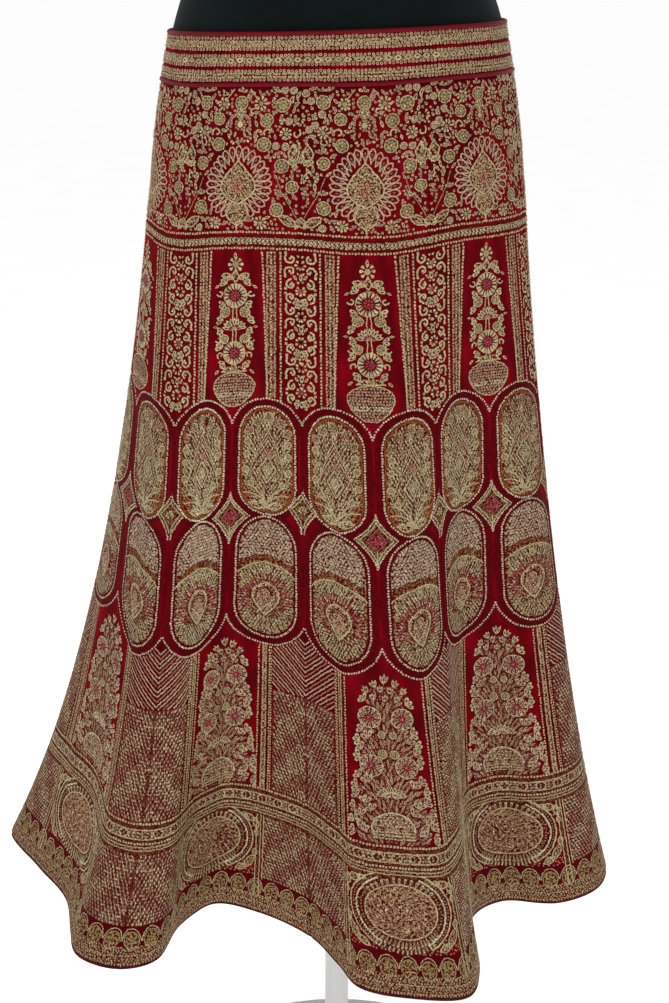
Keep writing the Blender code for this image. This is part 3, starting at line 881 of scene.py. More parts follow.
@dataclass
class Draft:
    """One panel's embroidery, drawn flat and worked later on every panel.

    Lengths in a draft are millimetres: u runs to the right from the panel's middle line
    and s runs down from the waist edge.  A stitch is one row of numbers: u, s, half
    length, half width, turn, rise, hub, shape and colour.
    """

    cloth: SkirtSurface
    stitches: list[Array] = field(default_factory=list)
    fills: list[tuple[Array, Array, Array, bool, int]] = field(default_factory=list)

    def half(self, s: Array | float) -> Array:
        """Return half the panel's width at a depth, in millimetres."""
        return self.cloth.half_width(np.asarray(s, dtype=float) / 1000.0) * 1000.0

    def line(self, share: Array | float, depth: Array) -> Array:
        """Return places at a share of the half width and at depths."""
        return pair(share * self.half(depth), depth)

    def put(self, u: Array, s: Array, a: Array, b: Array | None = None, turn: Array | float = 0.0,
            tone: Thread | Array = PALE, shape: Shape = ROUND, hub: float = 0.0, rise: float = 0.7) -> None:
        """Put stitches at places.

        Args:
            u: places across.
            s: places down.
            a: half lengths.
            b: half widths, or nothing where they equal the lengths.
            turn: directions in radians, 0 to the right and growing downward.
            tone: a thread, or one colour a stitch.
            shape: the stitches' outline.
            hub: 1 where the middle is an open hole, as in a ring sequin, or 0.
            rise: how far the middle stands up.
        """
        u, s, a, b, turn = np.broadcast_arrays(u, s, a, a if b is None else b, turn)
        flat = [np.ravel(x).astype(float) for x in (u, s, a, b, turn)]
        size = len(flat[0])
        colour = rgb(tone)
        colour = np.broadcast_to(colour.reshape(-1, 3) if colour.ndim > 1 else colour, (size, 3))
        rest = np.tile([rise, hub, SHAPES.index(shape)], (size, 1))
        self.stitches.append(np.column_stack([*flat, rest, colour]))

    def trace(self, points: Array, pitch: float, a: float, b: float | None = None, tone: Thread = PALE,
              shape: Shape = ROUND, closed: bool = False, rise: float = 0.6) -> None:
        """Stitch along a line, each stitch turned with the line."""
        places, turn = resample(points, pitch, closed)
        self.put(places[:, 0], places[:, 1], a, b, turn, tone, shape, 0.0, rise)

    def thread(self, points: Array, pitch: float, a: float, b: float, tone: Thread = PALE,
               closed: bool = False, rise: float = 0.6) -> None:
        """Stitch along a line with straight stitches that nearly join."""
        self.trace(points, pitch, a, b, tone, BAR, closed, rise)

    def wreath(self, u: float, s: float, reach: Span, turns: Array, a: float, b: float, tone: Thread = PALE,
               shape: Shape = DROP, hub: float = 0.0, rise: float = 0.7) -> None:
        """Stitch petals on an oval about a place, each pointing outward at its angle."""
        u, s = u + reach[0] * np.cos(turns), s + reach[1] * np.sin(turns)
        self.put(u, s, a, b, turns, tone, shape, hub, rise)

    def row(self, s: float, pitch: float, r: float, tone: Thread = PALE, hub: float = 0.0,
            b: float | None = None, lean: float = 0.0, shape: Shape = ROUND) -> None:
        """Stitch a level row across the panel, mirrored about its middle, with a lean in degrees."""
        wide = float(self.half(s))
        count = max(2, int(round(wide / pitch)))
        u = (np.arange(count) + 0.5) / count * wide
        for side in BOTH:
            self.put(side * u, s, r, b, math.radians(90 + side * (lean - 90)), tone, shape, hub)

    def blob(self, edge: Array, tone: ToneMap, rings: int = 8, middle: Span | None = None,
             layer: int = 1) -> None:
        """Fill a rounded region with bead work, in rows that shrink the edge towards the middle.

        Args:
            edge: the closed edge, one point a row.
            tone: gives the colour for u, s and the share from the middle to the edge.
            rings: steps from the edge to the middle.
            middle: the middle, or nothing for the edge's own mean.
            layer: how many fills lie under it.
        """
        edge = np.asarray(edge, dtype=float)
        if not np.allclose(edge[0], edge[-1]):
            edge = np.vstack([edge, edge[:1]])
        around = float(np.linalg.norm(np.diff(edge, axis=0), axis=1).sum())
        edge = resample(edge, min(max(around / 50.0, 2.4), 3.6), closed=True)[0]
        after = np.roll(edge, -1, axis=0)
        if np.sum(edge[:, 0] * after[:, 1] - after[:, 0] * edge[:, 1]) < 0:
            edge = edge[::-1]
        centre = np.array(middle) if middle else edge.mean(axis=0)
        share = np.linspace(1.0, 0.0, rings + 1)[:, None]
        u = centre[0] + (edge[None, :, 0] - centre[0]) * share
        s = centre[1] + (edge[None, :, 1] - centre[1]) * share
        self.fills.append((u, s, tone(u, s, share + np.zeros_like(u)), True, layer))

    def ring(self, outer: Array, inner: Array, tone: ToneMap, steps: int = 2) -> None:
        """Fill the ring between two edges with bead work, in a few steps from the outer to the inner."""
        edges = []
        for edge in (outer, inner):
            around = float(np.linalg.norm(np.diff(edge, axis=0), axis=1).sum())
            edges.append(resample(edge, around / 88.0, closed=True)[0])
        share = np.linspace(0.0, 1.0, steps + 1)[:, None, None]
        rows = edges[0] * (1.0 - share) + edges[1] * share
        self.fills.append((rows[..., 0], rows[..., 1], tone(rows[..., 0], rows[..., 1]), True, 0))

    def strip(self, shares: Span, s: Span, tone: ToneMap, columns: int = 12, rows: int = 2,
              both: bool = True) -> None:
        """Fill a strip between two shares of the half width and two depths.

        Args:
            shares: the strip's two sides, as shares of the half width.
            s: its upper and lower depth.
            tone: gives the colour for u and s.
            columns: steps across.
            rows: steps down.
            both: fill the same strip on the left as well.
        """
        depth = np.linspace(s[0], s[1], rows + 1)[:, None]
        for ends in (shares, (-shares[1], -shares[0]))[:1 + both]:
            u = np.linspace(ends[0], ends[1], columns + 1)[None, :] * self.half(depth)
            depths = depth + np.zeros_like(u)
            self.fills.append((u, depths, tone(u, depths), False, 0))

    @staticmethod
    def scatter(box: Box, pitch: float, inside: ToneMap, jitter: float = 0.0) -> tuple[Array, Array]:
        """Return places in staggered rows over a region.

        Args:
            box: left, right, top and bottom of the region.
            pitch: distance between places.
            inside: tells which places are kept.
            jitter: how far a place strays from its row.

        Returns:
            The places across and the places down.
        """
        left, right, top, bottom = box
        rows = np.arange(top, bottom, pitch * 0.87)
        columns = np.arange(left, right, pitch)
        s, u = np.meshgrid(rows, columns, indexing="ij")
        u = u + np.where(np.arange(len(rows)) % 2, pitch / 2, 0.0)[:, None]
        chance = np.random.default_rng(len(rows) * 31 + len(columns))
        u = u + chance.uniform(-jitter, jitter, u.shape)
        s = s + chance.uniform(-jitter, jitter, s.shape)
        kept = inside(u, s)
        return u[kept], s[kept]

    def free_places(self, box: Box, pitch: float, clearance: float, inside: ToneMap) -> tuple[Array, Array]:
        """Return staggered places that lie clear of every stitch drawn so far."""
        u, s = self.scatter(box, pitch, inside, pitch * 0.3)
        taken = np.vstack(self.stitches)[:, :3]
        apart = np.hypot(u[:, None] - taken[None, :, 0], s[:, None] - taken[None, :, 1])
        clear = np.all(apart > clearance + 0.5 * taken[None, :, 2], axis=1)
        return u[clear], s[clear]

    def flower(self, u: float, s: float, r: float, petals: int = 9, tone: Thread = PALE,
               heart: Thread = GOLD, heart_share: float = 0.34) -> None:
        """Stitch a daisy: a ring of pointed petals about a round heart."""
        middle = r * (1 + heart_share) / 2
        width = min(middle * math.pi / petals * 0.86, r * 0.5)
        length = r * (1 - heart_share) / 2 * 1.05
        self.wreath(u, s, (middle, middle), spin(petals, 0.11 * u), length, width, tone)
        self.put(u, s, r * heart_share * 0.95, tone=heart)

    def disc(self, u: float, s: float, r: float, tone: Thread = PALE, inner: Thread = GOLD) -> None:
        """Stitch a ringed disc: a ring of dots, a ring of petals and a heart."""
        self.put(u, s, r * 0.92, tone=DEEP, rise=0.12)
        self.thread(arc(u, s, r * 0.88, r * 0.88), 2.0, 1.1, 0.6, tone, closed=True)
        self.wreath(u, s, (r * 0.49, r * 0.49), spin(8, 0.2 * s), r * 0.29, r * 0.2, inner, LEAF, rise=0.9)
        self.put(u, s, r * 0.19, tone=tone, rise=1.0)

    def leaf(self, u: float, s: float, turn: float, length: float, width: float,
             tone: Thread = PALE) -> None:
        """Stitch one open pointed leaf at an angle in degrees."""
        self.put(u, s, length / 2, width / 2, math.radians(turn), tone, LEAF, 1.0)

    def sprig(self, u: float, s: float, turn: float, size: float, count: int = 3, spread: float = 52.0,
              tone: Thread = PALE) -> None:
        """Stitch a few open petals that spread from one foot, about an angle in degrees."""
        angles = np.radians(turn + spread * (np.arange(count) - (count - 1) / 2))
        self.wreath(u, s, (size * 0.55, size * 0.55), angles, size * 0.48, size * 0.27, tone, hub=1.0)

    def curl(self, u: float, s: float, r: float, start: float, sweep: float, width: float = 0.75) -> None:
        """Stitch a tendril that winds inward from a start angle through a sweep, in degrees."""
        part = np.linspace(0.0, 1.0, 40)
        turn = np.radians(start + sweep * part)
        reach = r * (1.0 - 0.62 * part)
        self.thread(pair(u + reach * np.cos(turn), s + reach * np.sin(turn)), 1.9, 1.15, width)

    def stem(self, points: Iterable[Span], tone: Thread = PALE, width: float = 0.5) -> None:
        """Stitch a thin stem through a few points."""
        knots = np.array(list(points), dtype=float)
        run = np.linspace(0, 1, len(knots))
        fine = np.linspace(0, 1, 30)
        self.thread(pair(*(np.interp(fine, run, knots[:, k]) for k in (0, 1))), 2.3, 1.35, width, tone)

    def big_leaf(self, u: float, s: float, turn: float, length: float, width: float) -> None:
        """Stitch a large leaf: an outline of thread with rows of beads inside."""
        part = np.linspace(0.0, 1.0, 24)
        along = (part - 0.5) * length
        wide = width / 2 * np.sin(part * math.pi) ** 0.8
        edge = turned(np.vstack([pair(along, wide), pair(along, -wide)[::-1]]), math.radians(turn)) + (u, s)
        self.blob(edge, clouded(GOLD, PALE, 3.0), 3)
        self.thread(edge, 2.1, 1.15, 0.62)

    def mirrored(self, draw: Callable[["Draft"], None]) -> None:
        """Draw one side's stitches and fills, and the same again on the other side."""
        side = type(self)(self.cloth)
        draw(side)
        for rows in side.stitches:
            other = rows.copy()
            other[:, 0] *= -1.0
            other[:, 4] = math.pi - other[:, 4]
            self.stitches.extend([rows, other])
        for u, s, tone, closed, layer in side.fills:
            self.fills.append((u, s, tone, closed, layer))
            self.fills.append((-u[:, ::-1], s[:, ::-1], tone[:, ::-1], closed, layer))


@dataclass(frozen=True)
class LongOval:
    """A long oval on the panel's right half: straight sides between two half ovals."""

    draft: Draft
    top: float
    low: float
    shares: Span             # the two sides, as shares of the half width
    end: float               # height of each half oval

    def edge(self, inset: float = 0.0) -> Array:
        """Return the closed edge, clockwise from the right, or one that lies an inset further in."""
        turn = np.linspace(0.0, math.pi, 44)
        across, down = 28 * np.cos(turn), np.sin(turn) * (self.end - inset)
        low = pair(across, down + self.low - self.end)
        path = resample(np.vstack([low, pair(-across, self.top + self.end - down), low[:1]]), 2.5)[0]
        side, depth = path[:, 0] / 28, path[:, 1]
        left, right = self.shares
        share = (left + right) / 2 + (right - left) / 2 * side
        return pair(share * self.draft.half(depth) - inset * side, depth)

    def holds(self, u: Array, s: Array, inset: float) -> Array:
        """Tell which places lie inside, an inset in from the edge."""
        wide = self.draft.half(s)
        left, right = self.shares
        reach = (right - left) / 2 * wide - inset
        beyond = np.abs(s - (self.top + self.low) / 2) - (self.low - self.top) / 2 + self.end
        beyond = np.clip(beyond, 0.0, None) / (self.end - inset)
        return (np.abs(u - (left + right) / 2 * wide) / reach) ** 2 < 1.0 - beyond**2

    def rim(self, middle: float, reach: float, r: float) -> None:
        """Draw the dotted rim and round it a ring of painted shade: dark maroon over and under the oval, the
        velvet's own red beside it.
        """
        # Painted shade: the ring darkens from the velvet's red beside the oval to maroon over and under it.
        self.draft.ring(self.edge(-7), self.edge(4), lambda u, s: blend(
            NAP, WINE, np.clip((np.abs(s - middle) - reach) / 16, 0, 1)))
        self.draft.trace(self.edge(), 2.7, r, None, SILVER, closed=True)


@dataclass
class PanelDraft(Draft):
    """The whole embroidery of one panel, from the yoke down to the hem."""

    def draw(self) -> "PanelDraft":
        """Draw every part of the panel and return the draft."""
        self.yoke_pendant()
        self.yoke_fan()
        self.yoke_flowers()
        self.yoke_border()
        self.vase()
        self.mirrored(PanelDraft.side_columns)
        self.mirrored(PanelDraft.upper_oval)
        self.mirrored(PanelDraft.lower_oval)
        self.diamonds()
        self.tree()
        self.mirrored(PanelDraft.lower_columns)
        self.dotted_band()
        self.medallion()
        self.hem_border()
        return self

    def yoke_pendant(self) -> None:
        """Draw the pendant under the waistband, on the panel's middle line."""
        self.sprig(0, 57.5, -90, 5.2, 3, 62)
        self.disc(0, 67.5, 6.9)
        self.disc(0, 77.2, 5.3, GOLD, PALE)
        self.stem([(0, 81), (0, 84)])
        self.flower(0, 88.2, 5.9, 10, GOLD, PALE, 0.5)
        for side in BOTH:
            self.leaf(side * 5, 97.5, 90 - side * 20, 5.5, 2.4)
            self.leaf(side * 9.8, 97, 90 - side * 38, 4.6, 2.2)
            self.put(side * 8.2, 104, 1.6, 1.2, 0.6 * side)

    def yoke_fan(self) -> None:
        """Draw the fan: loop petals about a teardrop, and its drop-shaped tail.

        The teardrop's half width is 17.6 times a power of the sine of its run.
        """
        part = np.linspace(0, 1, 30)
        drop = outline(17.6 * np.sin(np.pi * part**1.35) ** 0.85, 122.5 + 43 * part)

        def kernel(u: Array, s: Array, k: Array) -> Array:
            """Colour the teardrop: pale green gold, rose towards its middle."""
            rose = np.exp(-((u / 8) ** 2 + ((s - 150) / 9) ** 2))
            tone = blend(GOLD, PALE, 0.4 + 0.6 * mottle(u, s, 3))
            return blend(tone, PINK, 0.75 * rose * (0.4 + mottle(s, u, 1.8)))

        self.blob(drop, kernel, 7, (0, 148))
        self.thread(drop, 2.1, 1.25, 0.75)
        self.trace((drop - (0, 148)) * 0.80 + (0, 148), 2.3, 1, 0.75, GOLD)
        u, s = self.scatter((-14, 14, 130, 162), 3.1, lambda u, s: np.hypot(
            u / 12.5, (s - 149) / 14.5) + 0.3 * (s < 140) * np.abs(u) / 6 < 1, 0.5)
        tone = blend(OLIVE, PALE, 0.4 + 0.7 * mottle(s, u, 2.2))
        rose = np.exp(-((u / 7) ** 2 + ((s - 150) / 8) ** 2))
        tone = blend(tone, PINK, 0.8 * rose * (mottle(u, s, 1.5) > 0.45))
        self.put(u, s, 1.25, 0.85, np.arctan2(s - 149, u), tone, LEAF, 0, 0.6)
        tail = outline(11.6 * np.sin(np.pi * np.clip(part * 0.93 + 0.16, 0, 1)) ** 0.9, 164.5 + 24.5 * part)
        self.blob(tail, clouded(GOLD, PALE, 2.4), 5, (0, 172))
        self.thread(tail, 2.1, 1.15, 0.65)
        u, s = self.scatter((-9, 9, 168, 185), 2.9, lambda u, s: np.abs(u) < 9 - 0.42 * np.abs(s - 171))
        self.put(u, s, 1.1, 0.8, 0, clouded(PALE, ROSE, 2)(u, s), LEAF)
        self.stem([(0, 188.5), (0, 192)])
        part = np.linspace(0, 1, 14)
        beside = 3 * np.sin(np.pi * part**1.7) ** 0.6
        for index, turn in enumerate(np.radians(np.linspace(-90, 64, 13))):
            up = max(0, math.sin(-turn))
            start = 18.6 + 6 * up**3
            reach = 34.2 + 4 * up**6 - start
            lean = turn - 0.14 * math.cos(turn) * (index > 0)
            foot = np.array((start * math.cos(turn), 147 + start * math.sin(turn)))
            petal = np.vstack([pair(part * reach, beside), pair(part * reach, -beside)[::-1]])
            loop = turned(petal, lean) + foot
            for side in BOTH if index else BOTH[:1]:
                self.thread(loop * (side, 1), 1.85, 1.05, 0.72, FAN)
                for share, size in ((0.60, 1.5), (0.34, 1.1)):
                    u = side * (foot[0] + share * reach * math.cos(lean))
                    s = foot[1] + share * reach * math.sin(lean)
                    self.put(u, s, size, 0.85, lean if side > 0 else math.pi - lean, ROSE, LEAF)

    def yoke_flowers(self) -> None:
        """Draw the flowers, buds, leaves and tendrils that are strewn beside the fan."""
        many(self.flower, (
            (19.5, 68, 6.9), (45.3, 97, 6.3), (24, 183.5, 6.9), (-18.4, 68.5, 6.3), (-39, 95.5, 6.4),
            (-23, 183, 6.5), (-60, 82, 5.6), (-59.5, 140, 5), (59, 110, 5.5)))
        many(self.disc, (
            (40.8, 69.5, 7.4), (26.4, 84.5, 6.9), (24.8, 107.5, 7.2), (43, 128, 7.2), (53.5, 148, 6.4),
            (39.5, 170.5, 7.2), (-38, 67, 7), (-22.4, 82.5, 6.3), (-21.8, 107, 6.9), (-39, 124.5, 6.6),
            (-40, 167, 7.2), (-62, 118, 4.4)))
        many(self.sprig, (
            (32.7, 56.8, -60, 5.2), (-31, 56, -110, 5.2), (29.5, 67.5, 0, 6.2), (-46.8, 56, -95, 5),
            (38, 83.4, 0, 6), (-45, 80.6, 200, 5.2), (52, 84.5, -20, 5.6), (13.8, 99.5, 0, 5.4),
            (37.3, 114.5, 60, 6.2), (55.5, 132.5, -60, 5.6), (-28.5, 93.5, 160, 5), (-43.5, 138.5, 190, 6),
            (41.5, 157.5, -80, 5.6), (-40, 155, -90, 5.6), (-36, 177, 120, 4.8), (-50, 97, 80, 4.8),
            (-31, 115.5, 60, 4.6), (-57, 68, -70, 4.6)))
        many(self.leaf, (
            (16, 87.5, 70, 7, 3), (19.5, 94.5, 15, 6.5, 3), (49, 64.5, -55, 8.5, 3.6),
            (55, 60.5, -60, 8.5, 3.6), (51.5, 75, -65, 6, 3), (-13.6, 88.5, -65, 7.5, 3.1),
            (-35.5, 82.5, 45, 6.2, 2.8), (-32, 79.5, 65, 6.2, 2.8), (-44.5, 61.5, 60, 6.6, 2.8),
            (-26.5, 66, 45, 6.2, 3), (-27.5, 73, 45, 6.2, 3), (-17, 93.8, 20, 6.6, 3.2),
            (-61.5, 96.5, 95, 8, 3.2), (-29.5, 106, 70, 5.5, 2.4), (-49, 130.5, 80, 7.5, 3.4),
            (-34.5, 134, -40, 7.5, 2.6), (-47.5, 147, 80, 8, 3.4), (35, 100.5, 80, 5.2, 2.6),
            (45.5, 101.5, 10, 5.5, 2.4), (52.5, 162, 70, 5.2, 2.8), (31, 178.5, -20, 7, 3),
            (35.6, 183, 70, 6.5, 2.8), (-54, 132, 60, 6, 2.6), (60.5, 122, 80, 7, 3)))
        buds = np.array((
            (-20, 56), (-15.5, 58.3), (-10.8, 56), (-48.8, 72), (-57, 71.5), (-11.5, 77.5), (-40, 109),
            (-12, 98.5), (-7, 105.5), (49, 65.5), (37.5, 137.8), (44, 141.5), (49, 158), (-52, 82.5),
            (-46, 82), (12, 58), (17.5, 57), (57.5, 88), (30, 92), (-33, 100.5), (51, 119), (-64, 108),
            (-55, 162), (57.5, 170)))
        self.put(*buds.T, 2.1, 1.6, 0.9, shape=DROP, hub=1)
        many(self.curl, (
            (28, 95.5, 4.2, 150, 210), (12.5, 76, 3.2, -60, -200), (-24.5, 95.5, 4.4, 200, 230),
            (-37.5, 104, 4, 190, -210), (55, 96.5, 4.6, -40, 240), (-52.5, 135, 3.6, 120, 200)))
        for side in BOTH:
            self.stem([(side * 9, 55.5), (side * 12, 59), (side * 15.5, 64)])
            spray = ((38.5, 139), (43, 152), (52, 166), (58.5, 177))
            self.stem([(side * u, s) for u, s in spray], GOLD, 0.4)
            self.big_leaf(side * 50.5, 181, side * 28, 19, 8.2)
            self.big_leaf(side * 61, 182.5, side * -62, 12, 6.2)
            bell = ((53.5, 107), (59, 115), (57, 122), (50.5, 122.5), (48.5, 115), (53.5, 107))
            bell = np.array(bell) * (side, 1)
            self.blob(bell[:-1], clouded(GOLD, PALE, 2), 3)
            self.thread(bell, 2, 1.1, 0.6)
            self.sprig(side * 54, 121.5, 90, 6.4, 5, 34)

        def free(u: Array, s: Array) -> Array:
            """Keep places on the panel, outside the fan's own onion outline."""
            return (np.abs(u) < self.half(s) * 0.96) & (np.hypot(u / 37, (s - 145) / 39) >= 1)

        box = (-72, 72, 57, 189)
        for place in zip(*self.free_places(box, 8.6, 4.3, free)):
            self.disc(*place, 3.5, FAN, PALE)
        u, s = self.free_places(box, 6.6, 3, free)
        turn = 2.4 * mottle(u, s, 7) * math.pi
        for step in (-1.15, 0, 1.15):
            self.wreath(u, s, (2, 2), turn + step, 2.1, 1.3, FAN, hub=1)
        u, s = self.free_places(box, 4.2, 1.9, free)
        self.put(u, s, 1.6, 1.3, 2.4 * mottle(u, s, 5) * math.pi, PALE, DROP, 1)

    def yoke_border(self) -> None:
        """Draw the two dotted lines and the rope between them that close the yoke."""
        self.row(192.7, 3, 1.15)
        self.row(208.6, 3, 1.15)
        self.strip((0, 1), (197, 205.4), clouded(DEEP, WINE, 2), 40, 3)
        for s in (199.4, 203):
            self.row(s, 4.3, 2.6, PALE, 1, b=1.35, lean=32, shape=DROP)
        self.row(201.2, 4.3, 1, SILVER)

    def vase(self) -> None:
        """Draw the tall spray of flowers and the pot that it stands in."""
        self.flower(0, 225.3, 8, 8, PALE, GOLD, 0.45)
        self.leaf(0, 216.5, 90, 6.5, 3.2)
        for u, turn in ((-9, 200), (0, -90), (9, -20)):
            self.big_leaf(u, 237.2, turn, 11, 6.4)
        self.put(-5, 234.5, 2.4, 1.8, 0.6, PINK, DROP)
        for s, r in ((256.6, 12.2), (315.3, 11.8)):
            self.put(0, s, r * 0.98, tone=WINE, rise=0.1)
            self.wreath(0, s, (0.74 * r, 0.74 * r), spin(17), 0.27 * r, 1.7)
            self.thread(arc(0, s, r * 0.98, r * 0.98), 2.2, 1.1, 0.5, closed=True)
            self.wreath(0, s, (0.3 * r, 0.3 * r), spin(9), 0.17 * r, 1, PINK, LEAF)
            self.put(0, s, 1.2, tone=ROSE, rise=1)
        for side in BOTH:
            for u, s, turn, size in ((9, 245.2, -40, 8), (10, 264.3, 30, 8), (13, 282.5, -30, 7.5),
                                     (12, 292, 20, 7.5), (13, 309.8, -35, 8), (9.5, 325, 35, 7.5)):
                self.sprig(side * u, s, slant(side, turn), size, 3, 40)
            self.disc(side * 10.5, 273.1, 5.4)
            self.disc(side * 11, 300.5, 5)
            for u, s, r, sweep in ((16, 254, 3.6, 230), (17, 301, 3.4, 230), (15, 317, 3.4, -230)):
                self.curl(side * u, s, r, 90 - side * 60, side * sweep)
            for u, s, turn, length, width in ((20, 247, 60, 5.5, 2.6), (21.5, 288, 90, 5, 2.4),
                                              (19, 334, 50, 6.5, 3)):
                self.leaf(side * u, s, 90 - side * turn, length, width)
            self.stem([(side * 1.6, 268), (side * 2.4, 280), (side * 1.6, 292), (side * 2.2, 304)])
            self.stem([(side * 1.6, 327), (side * 3, 332)])
        for reach, count, length, tone in ((9, 9, 8.5, PALE), (4.5, 6, 6.5, ROSE)):
            turns = np.radians(np.linspace(-170, -10, count))
            for turn in turns:
                self.wreath(0, 291, (reach, 0.85 * reach), turn, length / 2, 1.8, tone, LEAF, 1)
        self.put(0, 290, 2.2, tone=GOLD)
        part = np.linspace(0, 1, 16)
        edge = outline(14 - 4 * np.sin(part * math.pi), 329.5 + 5 * part)
        self.blob(edge, clouded(GOLD, PALE, 2.5), 3)
        self.thread(edge, 2.2, 1.1, 0.6)
        turn = np.radians(np.linspace(90, 0, 16))
        part = np.linspace(0.06, 1, 22)
        wide = np.concatenate([22.3 * np.cos(turn), 4.5 + 17.8 * (1 - part**1.9) ** 0.8])
        depth = np.concatenate([348.5 - 13 * np.sin(turn), 348.5 + 22 * part])
        pot = outline(wide, depth)
        self.blob(pot, lambda u, s, k: blend(blend(WINE, FAN, 0.25 + 0.3 * mottle(u, s, 2)), SILVER,
                                             (np.abs(s - 359) < 2.2) * 0.7), 9)
        self.thread(pot, 2.1, 1.1, 0.55)
        for index, s in enumerate(np.arange(338.6, 369.5, 3)):
            reach = float(np.interp(s, depth, wide)) - 1.8
            if reach > 2:
                u = np.linspace(-reach, reach, max(2, int(2 * reach / 2.6))) + 0.6 * (index % 2)
                self.put(u, s, 0.95, 0.8, tone=SILVER if 356 < s < 362 else FAN)

    def arch(self, share: Array, tip: float, end: float, mid: float) -> Array:
        """Return the depth of the dotted arches over or under the ovals at a share of the half width.

        An arch is a part of an oval on both sides of the long oval's middle, 8 mm outside
        its end, and two neighbours meet where it has run 0.947 of its half width.

        Args:
            share: shares of the half width.
            tip: depth of the long oval's end.
            end: height of the long oval's rounding, negative at its lower end.
            mid: the long oval's middle, as a share of the half width.

        Returns:
            The depths.
        """
        apart = (np.abs(share) - mid) / (mid / 0.947)
        return tip + end - np.sign(end) * (abs(end) + 8) * np.sqrt(1 - apart**2)

    def over(self, share: Array) -> Array:
        """Return the depth of the arches over the upper ovals."""
        return self.arch(share, 369.6, 31, 0.5075)

    def under(self, share: Array) -> Array:
        """Return the depth of the arches under the lower ovals."""
        return self.arch(share, 620, -38, 0.505)

    def side_columns(self) -> None:
        """Draw the upright stripe and the column of scrolls beside each seam."""
        for share, r in ((0.42, 1.35), (0.70, 1.3)):
            depth = np.linspace(212.5, float(self.over(np.array(share))) - 1.5, 30)
            line = self.line(share, depth)
            line[:, 0] += (depth - 212.5) * 0.04 * (share < 0.5)
            self.trace(line, 3.3, r, r * 0.85)
        self.strip((0.48, 0.63), (211.5, 359.5), clouded(ROSE, GOLD, 2.2), 3, 50, both=False)
        for share, tone in ((0.495, FAN), (0.555, PALE), (0.615, FAN)):
            self.trace(self.line(share, np.linspace(213, 359.5, 40)), 3.3, 1.25, 0.85, tone)
        for index, s in enumerate(np.arange(224, 356, 25.6)):
            wide, odd = float(self.half(s)), index % 2
            self.flower(wide, s, 5.8, 8, PALE, PINK if odd else GOLD, 0.4)
            size = (5.9, 5.0, 5.6, 4.8)[index % 4]
            for toward in (-1, 1):
                self.curl(wide - 9.6, s + toward * 6.4, size, toward * (95 if odd else 150),
                          toward * (310 if odd else 270), 0.95)
                self.put(wide - 2.6, s + toward * 8.6, 1.6, 1.2, 0.6, PALE, DROP)
                self.put(wide - 9.8, s + toward * 6.2, 1.3)
                self.put(wide - 14.6, s + toward * (2 if odd else 11.5), 1.5)
            if odd:
                self.sprig(wide - 1, s + 12.2, 180, 6.4, 3, 48)
            self.leaf(wide, s + 12.2, 90, 7.5, 3.4)
            self.leaf(wide - 4.6, s + 12.2, 50, 6, 2.8)
        share = np.linspace(0, 1, 60)
        self.trace(self.line(share, self.over(share)), 2.9, 1.05, None, SILVER)

    def upper_oval(self) -> None:
        """Draw one long oval of the upper row: green-gold ground, a tree of diamonds and leaves."""
        oval = LongOval(self, 369.6, 485, (0.115, 0.90), 31)
        oval.rim(427.3, 40, 1.1)
        self.thread(oval.edge(2.6), 2.2, 1.25, 0.7, RUST, closed=True, rise=0.5)
        axis = float(0.5075 * self.half(430))

        def ground(u: Array, s: Array, k: Array) -> Array:
            """Colour the ground: green gold, rust low at the sides, dark along the drawn lines."""
            x, y = (u - axis) / 28, (s - 427) / 56
            tone = blend(OLIVE, PALE, mottle(u, s, 3.2))
            tone = blend(tone, WINE, 0.45 * np.clip((-0.30 - y) / 0.25, 0, 1))
            low = np.exp(-(((y - 0.66) / 0.20) ** 2)) * np.clip((np.abs(x) - 0.35) / 0.4, 0, 1)
            rim = np.clip((k - 0.93) / 0.03, 0, 1)
            tone = blend(tone, RUST, np.maximum(low * 0.95, rim * 0.6))
            ray = np.abs(np.sin(np.arctan2(np.abs(u - axis), 478 - s) * 17))
            return blend(tone, WINE, (ray < 0.30) * (y < 0.62) * (y > -0.75) * (np.abs(x) > 0.16) * 0.75)

        self.blob(oval.edge(3.2), ground, 15)
        u, s = self.scatter((4, 72, 374, 482), 3.7, lambda u, s: oval.holds(u, s, 5), 0.5)
        low = np.exp(-(((s - 464) / 9) ** 2)) * (np.abs(u - axis) > 14)
        tone = blend(blend(OLIVE, SILVER, 0.2 + 0.8 * mottle(s, u, 4)), RUST, 0.8 * low)
        self.put(u, s, 1.75, 0.76, np.arctan2(s - 480, u - axis), tone, LEAF, 0, 0.45)
        for tops, wide, tall in ((409, 7.5, 13), (437, 9.5, 14.5)):
            rhomb = np.array([(0, -tall), (wide, 0), (0, tall), (-wide, 0), (0, -tall)])
            for grow, a, b, tone, rise in ((1.16, 1.2, 0.62, WINE, 0.8), (1, 1.2, 0.62, PALE, 1),
                                           (0.72, 1.1, 0.50, WINE, 0.8)):
                self.thread(rhomb * grow + (axis, tops), 2.1, a, b, tone, rise=rise)
        self.flower(axis, 418, 4.4, 7, PINK, ROSE)
        u, s = self.scatter((axis - 5, axis + 5, 428, 448), 2.3,
                            lambda u, s: np.abs(u - axis) / 6 + np.abs(s - 438) / 10 < 1)
        self.put(u, s, 0.9)
        self.stem([(axis, 452), (axis, 472)], WINE)
        for side in BOTH:
            part = np.linspace(0, 1, 24)
            for start, low, reach in ((396, 428, 12), (401, 441, 16.5), (407, 455, 21)):
                line = pair(axis + side * reach * np.sin(part * math.pi / 2), start + (low - start) * part)
                self.thread(line + (0, 1.9), 2.2, 1.3, 0.62, WINE, rise=0.9)
                self.thread(line, 2.2, 1.3, 0.55, rise=1)
            part = np.linspace(0, 1, 14)
            for reach, height in ((21, 20), (22.5, 11)):
                depth = 474 - height * part**0.8 - 3.5 * np.sin(part * 3.1)
                self.thread(pair(axis + side * reach * part, depth), 2.1, 1.3, 0.6)
            self.big_leaf(axis + side * 9, 475.5, -side * 14, 16, 7)
